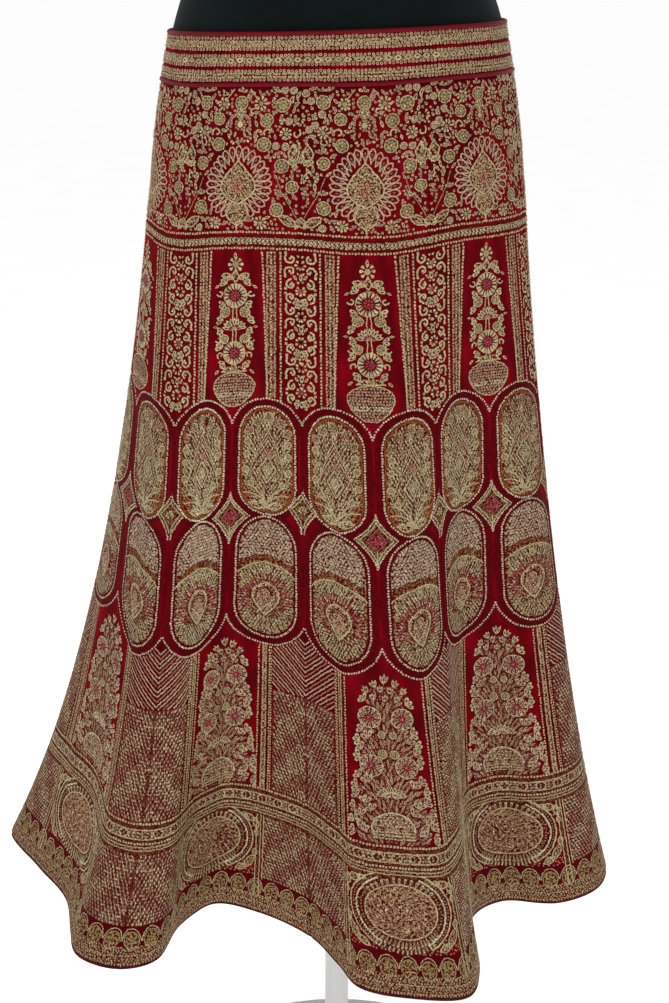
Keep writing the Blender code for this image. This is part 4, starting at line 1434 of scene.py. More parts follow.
            for u, s, r in ((11.5, 386.5, 5.2), (19.5, 396.5, 4.6), (20.5, 408, 3.6), (21.5, 421, 3.4),
                            (22.5, 438, 3.4), (16, 452, 3.2)):
                if r > 4.3:
                    self.put(axis + side * u, s, r + 1.3, tone=WINE, rise=0.2)
                self.disc(axis + side * u, s, r)
        self.put(axis, 381, 6.9, tone=WINE, rise=0.2)
        self.disc(axis, 381, 5.7)
        self.leaf(axis, 391.5, 90, 9, 3.6)

    def lower_oval(self) -> None:
        """Draw one long oval of the lower row: silvery scales over a paisley on green gold."""
        oval = LongOval(self, 487.3, 620, (0.11, 0.90), 36)
        oval.rim(553.6, 46, 1.05)
        axis = float(0.505 * self.half(560))

        def ogee(u: Array) -> Array:
            """Return the depth of the rust band: 532 on the oval's middle, 557 at its sides."""
            return 562 - 30 * np.sqrt(np.clip(1 - (np.abs(u - axis) / 37) ** 2, 0, 1))

        def ground(u: Array, s: Array, k: Array) -> Array:
            """Colour the ground: silver scales above the band and green gold below it."""
            band = ogee(u)
            scale = np.sin((u + s) / 2.3) * np.sin((u - s) / 2.3)
            upper = blend(WINE, SILVER, 0.25 + 0.6 * (scale > 0))
            reach = np.hypot(u - axis, (s - 578) * 0.92)
            ray = np.sin(np.arctan2(s - 578, u - axis) * 26)
            lower = blend(OLIVE, PALE, mottle(u, s, 3))
            lower = blend(lower, WINE, (ray > 0.45) * (reach > 16) * (reach < 33) * 0.85)
            lower = blend(lower, PINK, (ray < -0.5) * (reach > 17) * (reach < 27) * (s < 590) * 0.6)
            brown = blend(RUST, OLIVE, np.full(u.shape, 0.4))
            rust = blend(brown, WINE, np.clip((np.abs(u - axis) - 12) / 22, 0, 1) * 0.5)
            return blend(blend(upper, lower, s > band), rust, (np.abs(s - band - 1) < 3.2) * 0.9)

        self.blob(oval.edge(3.2), ground, 19)
        u, s = self.scatter((3, 84, 489, 553), 3.7,
                            lambda u, s: (s < ogee(u) - 4) & oval.holds(u, s, 4.2), 0.3)
        tone = blend(ROSE, SILVER, 0.25 + 0.65 * mottle(s, u, 3))
        self.put(u, s, 1.85, 0.95, np.where(np.sin(u / 3.4 + s / 7) > 0, 0.7, -0.6), tone, LEAF, 0, 0.6)
        u, s = self.scatter((3, 84, 533, 616), 3.6, lambda u, s: (s > ogee(u) + 4.5) & (
            np.hypot(u - axis, s - 580) > 18.5) & oval.holds(u, s, 4.8), 0.4)
        tone = blend(OLIVE, SILVER, 0.15 + 0.85 * mottle(s, u, 4))
        pink = (np.hypot(u - axis, s - 578) < 27) & (s < 592) & (mottle(u, s, 2) > 0.5)
        self.put(u, s, 1.8, 0.75, np.arctan2(s - 578, u - axis), blend(tone, PINK, pink), LEAF, 0, 0.5)
        across = axis + np.linspace(-30, 30, 30)
        self.thread(pair(across, ogee(across) + 5.4), 2.3, 1.25, 0.6)
        part = np.linspace(0, 1, 34)
        drop = outline(14.5 * np.sin(np.pi * part**0.72) ** 0.9, 560 + 36 * part, axis)
        self.blob(drop, lambda u, s, k: blend(blend(PALE, ROSE, 1.2 - k * 1.5), WINE,
                                              (np.abs(k - 0.80) < 0.06) * 0.8), 9, (axis, 582), 2)
        self.thread(drop, 2.2, 1.3, 0.7, rise=0.9)
        self.thread((drop - (axis, 582)) * 1.17 + (axis, 582), 2.2, 1.2, 0.6, WINE, rise=0.8)
        u, s = self.scatter((axis - 12, axis + 12, 568, 594), 3.1, lambda u, s: np.hypot(
            (u - axis) / 9.5, (s - 583) / 10.5) < 1, 0.4)
        self.put(u, s, 1.2, 0.8, u * 0.7, blend(ROSE, SILVER, mottle(u, s, 2)))
        self.thread([(axis + 9, 577), (axis + 2, 584), (axis - 8, 593)], 2.1, 1.2, 0.55, rise=1.2)
        self.disc(axis, 545.5, 3.8)
        share = np.linspace(0, 1, 80)
        self.trace(self.line(share, self.under(share)), 2.9, 1.05, None, SILVER)

    def diamonds(self) -> None:
        """Draw the diamonds between the two rows of ovals, on the middle line and at the seams."""
        def diamond(u: float, s: float, wide: float, up: float, low: float, share: float) -> Array:
            """Return a diamond's edge with hollow sides, at a share of its size."""
            part = np.linspace(0, 1, 12)
            across = np.concatenate([wide * part**1.6, wide * (1 - part) ** 1.6])
            return outline(across, np.concatenate([-up * (1 - part), low * part])) * share + (u, s)

        def ground(u: Array, s: Array, k: Array) -> Array:
            """Colour the ground in steps from the edge to the middle."""
            return blend(blend(GOLD, DEEP, mottle(u, s, 2.2)), WINE, ((k > 0.42) & (k < 0.55)) * 0.9)

        whole = diamond(0, 488, 20.5, 25.3, 30, 1)
        self.blob(whole, ground, 9, (0, 488))
        self.trace(whole, 2.4, 1, 0.9, SILVER)
        self.thread(diamond(0, 488, 20.5, 25.3, 30, 0.80), 2.4, 1.2, 0.6)
        rhomb = np.array([(0, -9.5), (8.6, 0), (0, 9.5), (-8.6, 0), (0, -9.5)])
        self.blob(rhomb * 1.3 + (0, 489), plain(WINE), 3, layer=2)
        self.blob(rhomb + (0, 489), clouded(PINK, ROSE, 1.6), 4, layer=3)
        self.thread(rhomb * 1.12 + (0, 489), 2.1, 1.1, 0.45, ROSE)
        u, s = self.scatter((-7, 7, 481, 497), 3, lambda u, s: np.abs(u) / 6.5 + np.abs(s - 489) / 7.5 < 1)
        self.put(u, s, 1, tone=PINK)
        self.stem([(0, 500), (0, 514)])
        for side in BOTH:
            wide = float(self.half(474))
            seam = diamond(side * wide, 474, 16, 25, 25, 1)
            inside = seam[np.abs(seam[:, 0]) <= wide + 0.01]
            inside = inside[np.argsort(inside[:, 1], kind="stable")]
            closed = np.vstack([inside, [(side * wide, inside[-1, 1]), (side * wide, inside[0, 1])]])
            self.blob(closed, ground, 5, (side * (wide - 5), 474))
            self.trace(inside, 2.4, 1, 0.9, SILVER)
            self.thread((inside - (side * wide, 474)) * 0.72 + (side * wide, 474), 2.4, 1.2, 0.6)
            self.flower(side * (wide - 0.5), 474, 4.6, 8)

    def tree_half(self, s: Array) -> Array:
        """Return the tree's half width at a depth, from its tip to the dotted band."""
        return np.interp(s, (622, 628, 640, 670, 690, 710, 735, 760, 795.5),
                         (1.5, 9, 20, 27, 30.5, 31.5, 35.5, 39, 44))

    def tree(self) -> None:
        """Draw the tall tree on the middle line: leaf clusters about flowers and a basket."""
        down = np.linspace(633, 795.5, 64)[:, None]
        share = np.linspace(-1, 1, 21)[None, :]
        ripple = 1 - 0.22 * (0.5 + 0.5 * np.sin(down * 0.55)) * np.abs(share)
        u = (self.tree_half(down) - 4) * ripple * share
        s = down + np.zeros_like(share)
        self.fills.append((u, s, clouded(WINE, ROSE, 2.6, 0.05, 0.35)(u, s), False, 0))
        for u, s, r in ((15.8, 667, 10.5), (17, 716, 10.7)):
            for side in BOTH:
                self.wreath(side * u, s, (7, 7), spin(12), 3.3, 1.75, FAN, hub=1)
                self.flower(side * u, s, 4.4, 9, PINK, ROSE, 0.4)
                self.thread(arc(side * u, s, r, r), 2.2, 1.2, 0.6, closed=True)
        many(self.disc, ((6, 703.5, 4.7), (-6, 703.5, 4.7), (5.4, 684, 3.8), (-5.4, 684, 3.8)))
        for reach, count, size in ((10.5, 11, 8.5), (4.5, 7, 6.5)):
            turns = np.radians(np.linspace(-168, -12, count))
            self.wreath(0, 747.5, (reach * 1.15, reach * 0.72), turns, size / 2, 1.7, PALE, LEAF, 1)
        self.put(0, 746.5, 2, tone=PINK)
        rim = arc(0, 781, 21.5, 18, 180, 360, 30)
        self.blob(np.vstack([rim, [(21.5, 790), (-21.5, 790)]]),
                  lambda u, s, k: blend(PALE, WINE, (np.sin(s * 2.1) > 0.35) * 0.6), 10, (0, 779))
        self.thread(rim, 2.2, 1.2, 0.7, SILVER)
        for s in (783, 786, 789.5):
            self.put(np.linspace(-20, 20, 15), s, 1.25, 0.8)
        for s in (768, 772, 776):
            wide = 19 * math.sqrt(1 - ((781 - s) / 18) ** 2)
            self.put(np.linspace(-wide, wide, int(wide / 1.7)), s, 1, 0.8, tone=SILVER)
        top = ((0, 632, -90, 11), (-8, 636, -120, 9.5), (8.5, 635, -62, 9.5), (-4, 641, -100, 8),
               (4.5, 642, -78, 8), (-15, 642, -135, 9), (15.5, 641.5, -45, 9), (0, 650, -90, 8),
               (-10, 649, -110, 8.5), (10.5, 650, -70, 8.5))
        for u, s, turn, size in top:
            for off, grow, tone in ((0, 1, FAN), (-26, 0.82, PALE), (26, 0.82, PALE)):
                self.wreath(u, s, (0.42 * size, 0.42 * size), math.radians(turn + off), size * grow / 2, 1.5,
                            tone, LEAF, 1)
        edge = ((20.5, 652, -30), (24, 682, -25), (20, 690, -60), (27.5, 693, 5), (26, 702, -35),
                (30, 731, -38), (33, 741, -5), (24, 736, -70), (34, 752, -42), (28, 757, -80),
                (37, 764, -8), (33, 771, -62), (39, 778, -38), (40, 789, -10), (32, 786, -75),
                (28.5, 709.5, 0), (21, 764, -60))
        for index, (u, s, turn) in enumerate(edge):
            for side in BOTH:
                lean = slant(side, turn + (index * 37 % 11) - 5 + side * 4)
                self.sprig(side * (u - 2 + side * 0.8), s + side * 1.2, lean, 8.6, 3, 42,
                           FAN if index % 3 else PALE)
        for side in BOTH:
            self.big_leaf(side * 31, 779, -side * 52, 15, 6.5)

        def inside(u: Array, s: Array) -> Array:
            """Keep places within the tree's uneven outline."""
            return np.abs(u) < (self.tree_half(s) - 3) * (1 - 0.16 * (0.5 + 0.5 * np.sin(s * 0.55)))

        u, s = self.free_places((-46, 46, 640, 794), 4.6, 1.9, inside)
        tone = blend(ROSE, PALE, 0.35 + 0.65 * mottle(u, s, 3))
        self.put(u, s, 2.6, 1.15, np.arctan2(-26, u * 1.5), tone, LEAF, 1, 0.6)
        u, s = self.free_places((-46, 46, 636, 794), 2.9, 1, inside)
        self.put(u, s, 0.95, 0.75, 0.5, ROSE)

    def lower_columns(self) -> None:
        """Draw the stripe, the slanting stripes and the lattice that lie beside each seam."""
        for share, r in ((0.42, 1.2), (0.555, 1.2), (0.575, 1)):
            top = float(self.under(np.array(share))) + 3.5
            self.trace(self.line(share, np.linspace(top, 795, 50)), 3.1, r, r * 0.8)
        self.strip((0.462, 0.522), (630, 795.5), clouded(GOLD, PALE, 2.6), 2, 50, both=False)
        for share in (0.472, 0.512):
            self.trace(self.line(share, np.linspace(628, 795.5, 60)), 2.8, 1.2, 0.8)
        share = np.linspace(0.59, 0.9985, 13)[None, :]
        ceiling = self.under(share) + 3
        depth = ceiling + (678 - ceiling) * np.linspace(0, 1, 8)[:, None]
        across = share * self.half(depth)
        self.fills.append((across, depth, plain(WINE)(across, depth), False, 0))
        share = np.linspace(0.60, 0.993, 30)
        ceiling = self.under(share) + 3
        for index in range(24):
            depth = 575 + 5 * index + (share - 0.60) / 0.4 * 34
            kept = (depth > ceiling) & (depth < 677)
            if kept.sum() > 4:
                self.thread(self.line(share, depth)[kept], 2.3, 1.2, 0.72, FAN if index % 3 else ROSE)
        self.lattice((678, 795.5), 0.60)

    def lattice(self, span: Span, start: float) -> None:
        """Draw the slanting dashes on a beaded ground that fill the panel's side.

        Args:
            span: upper and lower depth.
            start: the inner side, as a share of the half width.
        """
        def ground(u: Array, s: Array) -> Array:
            """Colour the ground: maroon with paler slanting bands."""
            bands = np.sin((u * 1.2 + s) / 9) + 0.5 * np.sin((u * 0.8 - s) / 5)
            return blend(WINE, FAN, 0.08 + 0.22 * (bands > 0.1) + 0.16 * mottle(u, s, 2.5))

        self.strip((start, 0.9985), span, ground, 16, int((span[1] - span[0]) / 3.4), both=False)
        u, s = self.scatter((30, 142, span[0] + 2.5, span[1] - 1.5), 4.3, lambda u, s: (
            u > (start + 0.012) * self.half(s)) & (u < 0.98 * self.half(s)))
        bands = np.sin((u * 1.2 + s) / 9) + 0.6 * np.sin((u * 0.8 - s) / 5)
        tone = blend(ROSE, PALE, 0.35 + 0.65 * (bands > -0.2))
        turn = np.where(u > (start + 0.99) / 2 * self.half(s), 1.25, 0.85)
        self.put(u, s, 1.9, 0.8, turn, tone, LEAF, 0, 0.6)
        low = mottle(s, u, 3) > 0.72
        self.put(u[low] + 2.1, s[low], 0.9, 0.9, 0, SILVER, rise=0.8)

    def dotted_band(self) -> None:
        """Draw the band of ringed ovals between the tree and the medallion."""
        self.row(797.5, 3.3, 1.35)
        for top, low, gold, rows in ((799.2, 803, 0.2, 1), (803, 814.4, 0.85, 3), (814.4, 820.6, 0.2, 2),
                                     (820.6, 826.4, 0.65, 2), (826.4, 829.5, 0.25, 1)):
            self.strip((0, 1), (top, low), plain(blend(WINE, GOLD, np.array(gold))), 28, rows)
        for s in (803.9, 813.7):
            self.row(s, 2.6, 1.25, b=0.65, shape=BAR)
        wide = float(self.half(808.8))
        for u in np.arange(0, wide - 2, 2 * wide / 12):
            for side in BOTH if u else BOTH[:1]:
                self.put(side * u, 808.8, 4.2, 3.9, 0, WINE, rise=0.25)
                self.put(side * u, 808.8, 1.5, 1.4, 0, ROSE, rise=1)
                self.thread(arc(side * u, 808.8, 5, 4.5), 2.2, 1.2, 0.62, closed=True, rise=0.9)
        self.row(806.8, 4.9, 0.9, SILVER)
        self.row(810.8, 4.9, 0.9, SILVER)
        self.row(818.5, 3.2, 1.25)
        for s in (822.3, 825.6):
            self.row(s, 2.6, 1.2, b=0.6, shape=BAR)

    def medallion(self) -> None:
        """Draw the round medallion in its frame and the lattice beside the seams."""
        middle = 863.2
        frame = arc(0, middle, 53, 44.5, steps=60)
        frame[:, 1] = frame[:, 1].clip(829.8, 904.8)
        self.blob(frame, lambda u, s, k: blend(WINE, FAN, 0.30 * mottle(u, s, 2.4) * (np.abs(u) < 38)),
                  6, (0, middle), 0)
        self.strip((0.445, 0.50), (829.5, 905),
                   lambda u, s: blend(WINE, GOLD, (np.sin(u * 2.1) > 0.1) * 0.7), 5, 20)
        self.mirrored(lambda side: side.lattice((829.5, 905), 0.515))
        disc = arc(0, middle, 36, 27.5, steps=60)
        self.blob(disc, lambda u, s, k: blend(blend(PALE, ROSE, 0.15 + 0.75 * mottle(u, s, 3)), WINE,
                                              0.42 * (mottle(s, u, 2.2) > 0.66)), 11)
        self.thread(disc, 2.3, 1.3, 0.75, closed=True)
        for count, near, size in ((26, 0.86, 2.3), (22, 0.66, 2.6), (15, 0.44, 2.4), (8, 0.22, 2.2)):
            turn = spin(count, near * 3)
            u, s = 36 * near * np.cos(turn), middle + 27.5 * near * np.sin(turn)
            turn = np.arctan2(27.5 * np.sin(turn), 36 * np.cos(turn)) + 0.6
            self.put(u, s, size, size * 0.42, turn, blend(PALE, ROSE, mottle(u, s, 2)), LEAF, 0, 0.6)
        self.put([5.5, -3, -16, 1], [861, 858, 862.5, 883], 1, tone=GLINT, rise=1.1)
        for side in BOTH:
            for reach, tone, wide in ((44.6, SILVER, 1), (50.8, PALE, 0.9)):
                ends = (-62, 58) if side > 0 else (122, 242)
                self.thread(arc(0, middle, reach, reach * 0.83, *ends, 30), 2.5, 1.3, wide, tone)
            for reach in (40, 47.7):
                ends = (-56, 54) if side > 0 else (126, 236)
                self.trace(arc(0, middle, reach, reach * 0.83, *ends, 30), 3.2, 0.8, None, GOLD)
            for u, s, turn, length, width in (
                    (44, 834.8, 25, 13, 7.5), (52.5, 840.5, 75, 12, 7), (37, 832.6, 0, 8, 4.5),
                    (54, 851, 85, 7, 4.5), (50, 889, -62, 20, 8), (41.5, 897.5, -30, 14, 7),
                    (55, 876, -80, 9, 5.5)):
                self.big_leaf(side * u, s, slant(side, turn), length, width)
            for share, end in ((0.452, 928), (0.492, 928), (0.52, 905)):
                self.thread(self.line(side * share, np.linspace(830, end, 30)), 2.6, 1.4, 0.6)
        self.wreath(0, middle, (39, 31.5), np.radians(np.linspace(-142, -38, 13)), 3.4, 1.7, hub=1)
        self.wreath(0, middle, (40, 33.5), np.radians(np.linspace(38, 142, 19)), 4, 1.3, hub=1)
        self.wreath(0, middle, (44, 40.5), np.radians(np.linspace(50, 130, 15)), 2.2, 0.8, shape=BAR)
        u, s = self.free_places((-62, 62, 832, 904), 3.7, 1.4, lambda u, s: np.abs(u) < 0.435 * self.half(s))
        self.put(u, s, 1, 0.75, 0.8, GOLD)

    def hem_border(self) -> None:
        """Draw the row of domes and the fine rows that end at the hem's binding."""
        self.strip((0, 1), (905, 926.5), plain(WINE), 28, 5)
        wide = float(self.half(919))
        for u in np.arange(-6, 7) * (2 * wide / 13):
            dome = arc(u, 920.5, 7.8, 9.6, steps=26)
            self.blob(dome, clouded(GOLD, OLIVE, 2.2, 0, 0.9), 3, (u, 920.5))
            self.thread(dome, 2.1, 1.1, 0.5, GOLD, closed=True)
            self.thread(arc(u, 924, 10, 16.5, 195, 345, 20), 2.3, 1.2, 0.5)
            self.wreath(u, 920.5, (3.9, 4.8), spin(6, math.pi / 6), 2, 0.8, GOLD, LEAF)
        self.strip((0, 1), (926.5, 946.6), clouded(WINE, GOLD, 2.4, 0.12, 0.5), 34, 7)
        u, s = self.scatter((-wide - 4, wide + 4, 928, 946), 3.1, lambda u, s: np.abs(u) < self.half(s), 0.8)
        tone = blend(ROSE, PALE, 0.25 + 0.9 * mottle(s, u, 2.3))
        self.put(u, s, 1.25, 0.8, 2.4 * mottle(u, s, 4), tone, LEAF, 0, 0.6)
        self.row(936.5, 3.3, 1.1, b=0.6, shape=LEAF, lean=20)
        self.row(945.4, 3.2, 1.2, GOLD, b=0.6, lean=90, shape=BAR)


@dataclass
class BandDraft(Draft):
    """The waistband's embroidery over one panel's width: three bands between ring rows."""

    def draw(self) -> "BandDraft":
        """Draw the three bands and return the draft."""
        for top, low in ((7.5, 15.1), (24.2, 30.1), (38.7, 44.5)):
            self.strip((0, 1), (top, low), clouded(GOLD, FAN, 2.4), 20, 3)
        for s, tone in ((6, FAN), (16.4, PALE), (22.8, PALE), (31.4, FAN), (37.4, PALE), (45.8, FAN)):
            self.row(s, 3.7, 1.5, tone, 1)
        for s in (9.6, 13.8, 40, 43):
            self.row(s, 2.9, 1.35, b=0.8, lean=38, shape=LEAF)
        self.row(11.7, 2.6, 0.9, FAN)
        wide = float(self.half(27.2))
        count = int(round(2 * wide / 9.4))
        middles = (np.arange(count) + 0.5) / count * 2 * wide - wide
        self.put(middles, 27.2, 3.9, 2.7, 0, PALE, LEAF, 1, 0.6)
        self.put(middles, 27.2, 1.3, 1, 0, SILVER, rise=1.2)
        for s in (25.2, 29.2):
            self.put(middles + wide / count, s, 1.2, 0.9, 0, GOLD)
        return self


@dataclass
class Embroiderer:
    """Works a draft on the cloth: fills as thin patches and stitches as small raised stamps."""

    cloth: SkirtSurface
    wall: float = 0.0020
    fill_lift: float = 0.00022
    layer_lift: float = 0.00012
    rim_lift: float = 0.00046
    wander: float = 0.22     # how far a stitch strays, in millimetres
    broad: float = 4.0       # half length by half width from which a stitch has six sides

    def _place(self, panel: float, u: Array, s: Array) -> tuple[Array, Array, Array]:
        """Turn a draft's millimetres into panel coordinate, depth and share of half width."""
        depth = s / 1000.0
        share = (u / 1000.0) / self.cloth.half_width(depth)
        return panel + 0.5 + share / 2, depth, share

    def work_fills(self, name: str, draft: Draft, panels: Iterable[int], finish: Finish) -> Piece:
        """Lay a draft's fills on the cloth as one piece.

        Args:
            name: the piece's name.
            draft: what is drawn.
            panels: the panels that it is worked on.
            finish: the bead work's finish.

        Returns:
            The new piece.
        """
        points, faces, tones, uvs = [], [], [], []
        start = 0
        for panel in panels:
            for u, s, tone, closed, layer in draft.fills:
                q, depth, share = self._place(panel, u, s)
                lift = self.wall / 2 + self.fill_lift + self.layer_lift * layer
                points.append(self.cloth.at(q, depth, lift).reshape(-1, 3))
                faces.append(grid_faces(*u.shape, closed=closed) + start)
                tones.append(tone.reshape(-1, 3))
                uvs.append(cloth_uv(share, depth, self.cloth.half_width(depth)).reshape(-1, 2))
                start += u.size
        mesh = make_mesh(name, np.vstack(points), np.vstack(faces))
        set_colours(mesh, "tone", np.vstack(tones))
        set_uv(mesh, np.vstack(uvs))
        return add_piece(name, mesh, finish)

    def _stamp(self, rows: Array, sides: int, panel: int) -> tuple[Array, Array, Array, Array, Array]:
        """Shape stitches as low caps.

        A cap's rim lies on the cloth, at the place plus the outline turned in the plane
        of the across and down directions, and its middle stands out by the rise.

        Args:
            rows: the stitches, one a row.
            sides: 6, or 4 for small stitches.
            panel: the panel that they are worked on.

        Returns:
            Points, faces, tones, hubs and the points' flat places.
        """
        outlines = np.array([shape.value[0 if sides == 6 else 1] for shape in SHAPES])
        chance = np.random.default_rng(410 + 8 * panel + sides)
        stray = chance.normal(0.0, self.wander, (len(rows), 2))
        grow = 1.0 + chance.normal(0.0, 0.05, (len(rows), 1))
        light = np.exp(chance.normal(0.0, 0.13, (len(rows), 1)))
        q, depth, share = self._place(panel, rows[:, 0] + stray[:, 0], rows[:, 1] + stray[:, 1])
        kept = np.abs(share) < 0.997
        q, depth, share, row = q[kept], depth[kept], share[kept], rows[kept]
        grow, light = grow[kept], light[kept]
        across, down, normal = self.cloth.frames(q, depth)
        middle = self.cloth.at(q, depth, self.wall / 2 + self.rim_lift)
        outline = outlines[row[:, 7].astype(int)]
        along = outline[..., 0] * row[:, 2:3] * grow
        beside = outline[..., 1] * row[:, 3:4] * grow
        cos, sin = np.cos(row[:, 4:5]), np.sin(row[:, 4:5])
        right = (along * cos - beside * sin) / 1000.0
        low = (along * sin + beside * cos) / 1000.0
        rim = middle[:, None] + across[:, None] * right[..., None] + down[:, None] * low[..., None]
        top = middle + normal * (row[:, 5:6] * (0.35 + 0.35 * row[:, 3:4]).clip(0.3, 1.0) / 1000.0)
        points = np.concatenate([rim, top[:, None]], axis=1).reshape(-1, 3)
        hub = np.zeros((len(row), sides + 1))
        hub[:, sides] = row[:, 6]
        flat = cloth_uv(share, depth, self.cloth.half_width(depth))[:, None, :] + np.zeros((1, sides + 1, 1))
        flat[:, :sides, 0] += right / UV_WIDTH
        flat[:, :sides, 1] -= low / SKIRT_LENGTH
        turn = np.arange(sides)
        cap = np.stack([np.full(sides, sides), (turn + 1) % sides, turn], axis=-1)[None]
        faces = (np.arange(len(row)) * (sides + 1))[:, None, None] + cap
        tones = np.repeat(row[:, 8:11] * light, sides + 1, axis=0)
        return points, faces.reshape(-1, 3), tones, hub.ravel(), flat.reshape(-1, 2)

    def work_stitches(self, name: str, draft: Draft, panels: Iterable[int], finish: Finish) -> Piece:
        """Set a draft's stitches on the cloth as one piece; small ones have four sides and broad ones six.

        Args:
            name: the piece's name.
            draft: what is drawn.
            panels: the panels that it is worked on.
            finish: the thread's finish.

        Returns:
            The new piece.
        """
        rows = np.vstack(draft.stitches)
        ring = (rows[:, 6] > 0) & (rows[:, 7] == SHAPES.index(ROUND))
        broad = (rows[:, 2] * rows[:, 3] > self.broad) | ring
        points, faces, tones, hubs, uvs = [], [], [], [], []
        start = 0
        for panel in panels:
            for pick, sides in ((broad, 6), (~broad, 4)):
                place, cap, tone, hub, flat = self._stamp(rows[pick], sides, panel)
                points.append(place)
                faces.append(cap + start)
                tones.append(tone)
                hubs.append(hub)
                uvs.append(flat)
                start += len(place)
        mesh = make_mesh(name, np.vstack(points), np.vstack(faces))
        set_colours(mesh, "tone", np.vstack(tones))
        set_values(mesh, "hub", np.concatenate(hubs))
        set_uv(mesh, np.vstack(uvs))
        return add_piece(name, mesh, finish)


# Form and stand
@dataclass
class FormAndStand:
    """The dress form's cover and the stand under it."""

    frame: dict
    cloth: SkirtSurface
    seams: tuple[float, ...] = (-31.0, 36.5, 149.0, 211.0)
    columns: int = 88
    step: float = 0.010
    lower: tuple[tuple[float, ...], ...] = (
        (-0.256, 0.128, 0.082, 0.0), (-0.252, 0.143, 0.094, 0.0), (-0.232, 0.163, 0.108, 0.0),
        (-0.196, 0.176, 0.116, 0.0),
    )
    inside: tuple[Span, ...] = (
        (0.148, 0.0040), (0.100, 0.0040), (0.058, 0.0040), (0.048, 0.0022), (0.025, 0.0022), (0.0, 0.0022),
    )
    upper: tuple[tuple[float, ...], ...] = (
        (0.022, 0.1545, 0.1080, 0.0), (0.055, 0.1430, 0.1010, 0.0), (0.100, 0.1330, 0.0950, -0.001),
        (0.145, 0.1360, 0.0980, -0.003), (0.195, 0.1450, 0.1080, -0.008), (0.235, 0.1540, 0.1175, -0.012),
        (0.285, 0.1620, 0.1265, -0.018), (0.330, 0.1660, 0.1215, -0.014), (0.375, 0.1700, 0.1065, -0.005),
        (0.415, 0.1690, 0.0890, 0.003), (0.445, 0.1530, 0.0730, 0.009), (0.466, 0.1180, 0.0620, 0.011),
        (0.483, 0.0800, 0.0570, 0.010), (0.510, 0.0590, 0.0540, 0.007), (0.556, 0.0540, 0.0525, 0.003),
    )

    def sections(self) -> Array:
        """Return the form's sections from its underside up: height, tilt, two half axes and centre."""
        cloth = self.cloth
        rows = [(cloth.waist_z + rise, 0.0, wide, deep, centre) for rise, wide, deep, centre in self.lower]
        for depth, clear in self.inside:
            grow = math.sin(depth / cloth.hip_depth * math.pi / 2)
            axes = [low + (high - low) * grow - clear for low, high in zip(cloth.waist_oval, cloth.hip_oval)]
            height = float(cloth.at(np.array(FRONT_Q), np.array(depth))[2])
            rows.append((height, cloth.waist_tilt * (1.0 - depth / SKIRT_LENGTH), *axes, 0.0))
        for rise, wide, deep, centre in self.upper:
            tilt = cloth.waist_tilt * max(0.0, 1.0 - rise / 0.10)
            rows.append((cloth.waist_z + rise, tilt, wide, deep, centre))
        return np.array(rows)

    def smooth_sections(self) -> Array:
        """Return the sections with finer ones between them, on smooth curves that never overshoot.

        Between two sections each value runs on a cubic whose slopes at the ends are the
        harmonic means of the neighbouring straight slopes, or level at a turning point.
        """
        rows = self.sections()
        height = rows[:, 0]
        slope = np.diff(rows, axis=0) / np.diff(height)[:, None]
        same = slope[:-1] * slope[1:] > 0
        total = np.where(same, slope[:-1] + slope[1:], 1.0)
        inner = np.where(same, 2.0 * slope[:-1] * slope[1:] / total, 0.0)
        tangent = np.vstack([slope[:1], inner, slope[-1:]])
        fine = []
        for index, span in enumerate(np.diff(height)):
            count = max(2, int(round(span / self.step)))
            t = (np.arange(count) / count)[:, None]
            one = (1 + 2 * t) * (1 - t) ** 2 * rows[index] + t**2 * (3 - 2 * t) * rows[index + 1]
            two = t * (1 - t) ** 2 * tangent[index] + t**2 * (t - 1) * tangent[index + 1]
            fine.append(one + span * two)
        return np.vstack([*fine, rows[-1:]])

    def build_cover(self, jersey: Finish) -> Piece:
        """Draw the jersey cover over the padded form, with its long shaping seams.

        Each section is an oval, a seam's groove deep at the seams, and the ends close inward.
        """
        seams = np.radians(self.seams)
        near = np.array([-0.05, -0.03, -0.018, -0.009, 0.0, 0.009, 0.018, 0.03, 0.05])
        even = np.arange(self.columns) * (2 * math.pi / self.columns)
        turn = np.concatenate([even, (seams[:, None] + near).ravel()])
        turn = np.unique(np.mod(turn, 2 * math.pi).round(5))
        turn = np.concatenate([turn[turn >= math.pi], turn[turn < math.pi] + 2 * math.pi])
        rows = self.smooth_sections()[::-1]
        top, low = rows[:1].copy(), rows[-1:].copy()
        ends = []
        for share in (0.02, 0.55):
            ring = top.copy()
            ring[:, 2:4] *= share
            ends.append(ring)
        rows = np.vstack([*ends, rows])
        for share in (0.55, 0.02):
            ring = low.copy()
            ring[:, 2:4] *= share
            rows = np.vstack([rows, ring])
        apart = np.abs(np.mod(turn[None, :] - seams[:, None] + math.pi, 2 * math.pi) - math.pi)
        groove = 0.0008 * np.exp(-((apart * 0.15 / 0.0018) ** 2)).sum(axis=0)[None, :]
        height, tilt, wide, deep, centre = (rows[:, k:k + 1] for k in range(5))
        x = (wide - groove) * np.sin(turn)
        y = centre - (deep - groove) * np.cos(turn)
        points = np.stack([x, y, height + tilt * x], axis=-1)
        mesh = make_mesh("jersey_cover", points, grid_faces(*x.shape, closed=True))
        run = np.clip((turn - math.pi) / (2 * math.pi), 0.0, 1.0)
        share = (height - height.min()) / (height.max() - height.min())
        set_uv(mesh, np.stack(np.broadcast_arrays(run[None, :], share), axis=-1))
        cover = add_piece("jersey_cover", mesh, jersey)
        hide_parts("form_torso")
        return cover

    def dress(self, cap: Finish, paint: Finish) -> None:
        """Give the cap's and the stand's own solids their finishes."""
        finishes = {"form_neck_cap": cap}
        for node in ("stand_pole", "stand_collar", "stand_base"):
            finishes[node] = paint
        for node, finish in finishes.items():
            item = self.frame["nodes"][node]
            item.data.materials.clear()
            item.data.materials.append(finish)
            log.info("%s dressed", node)


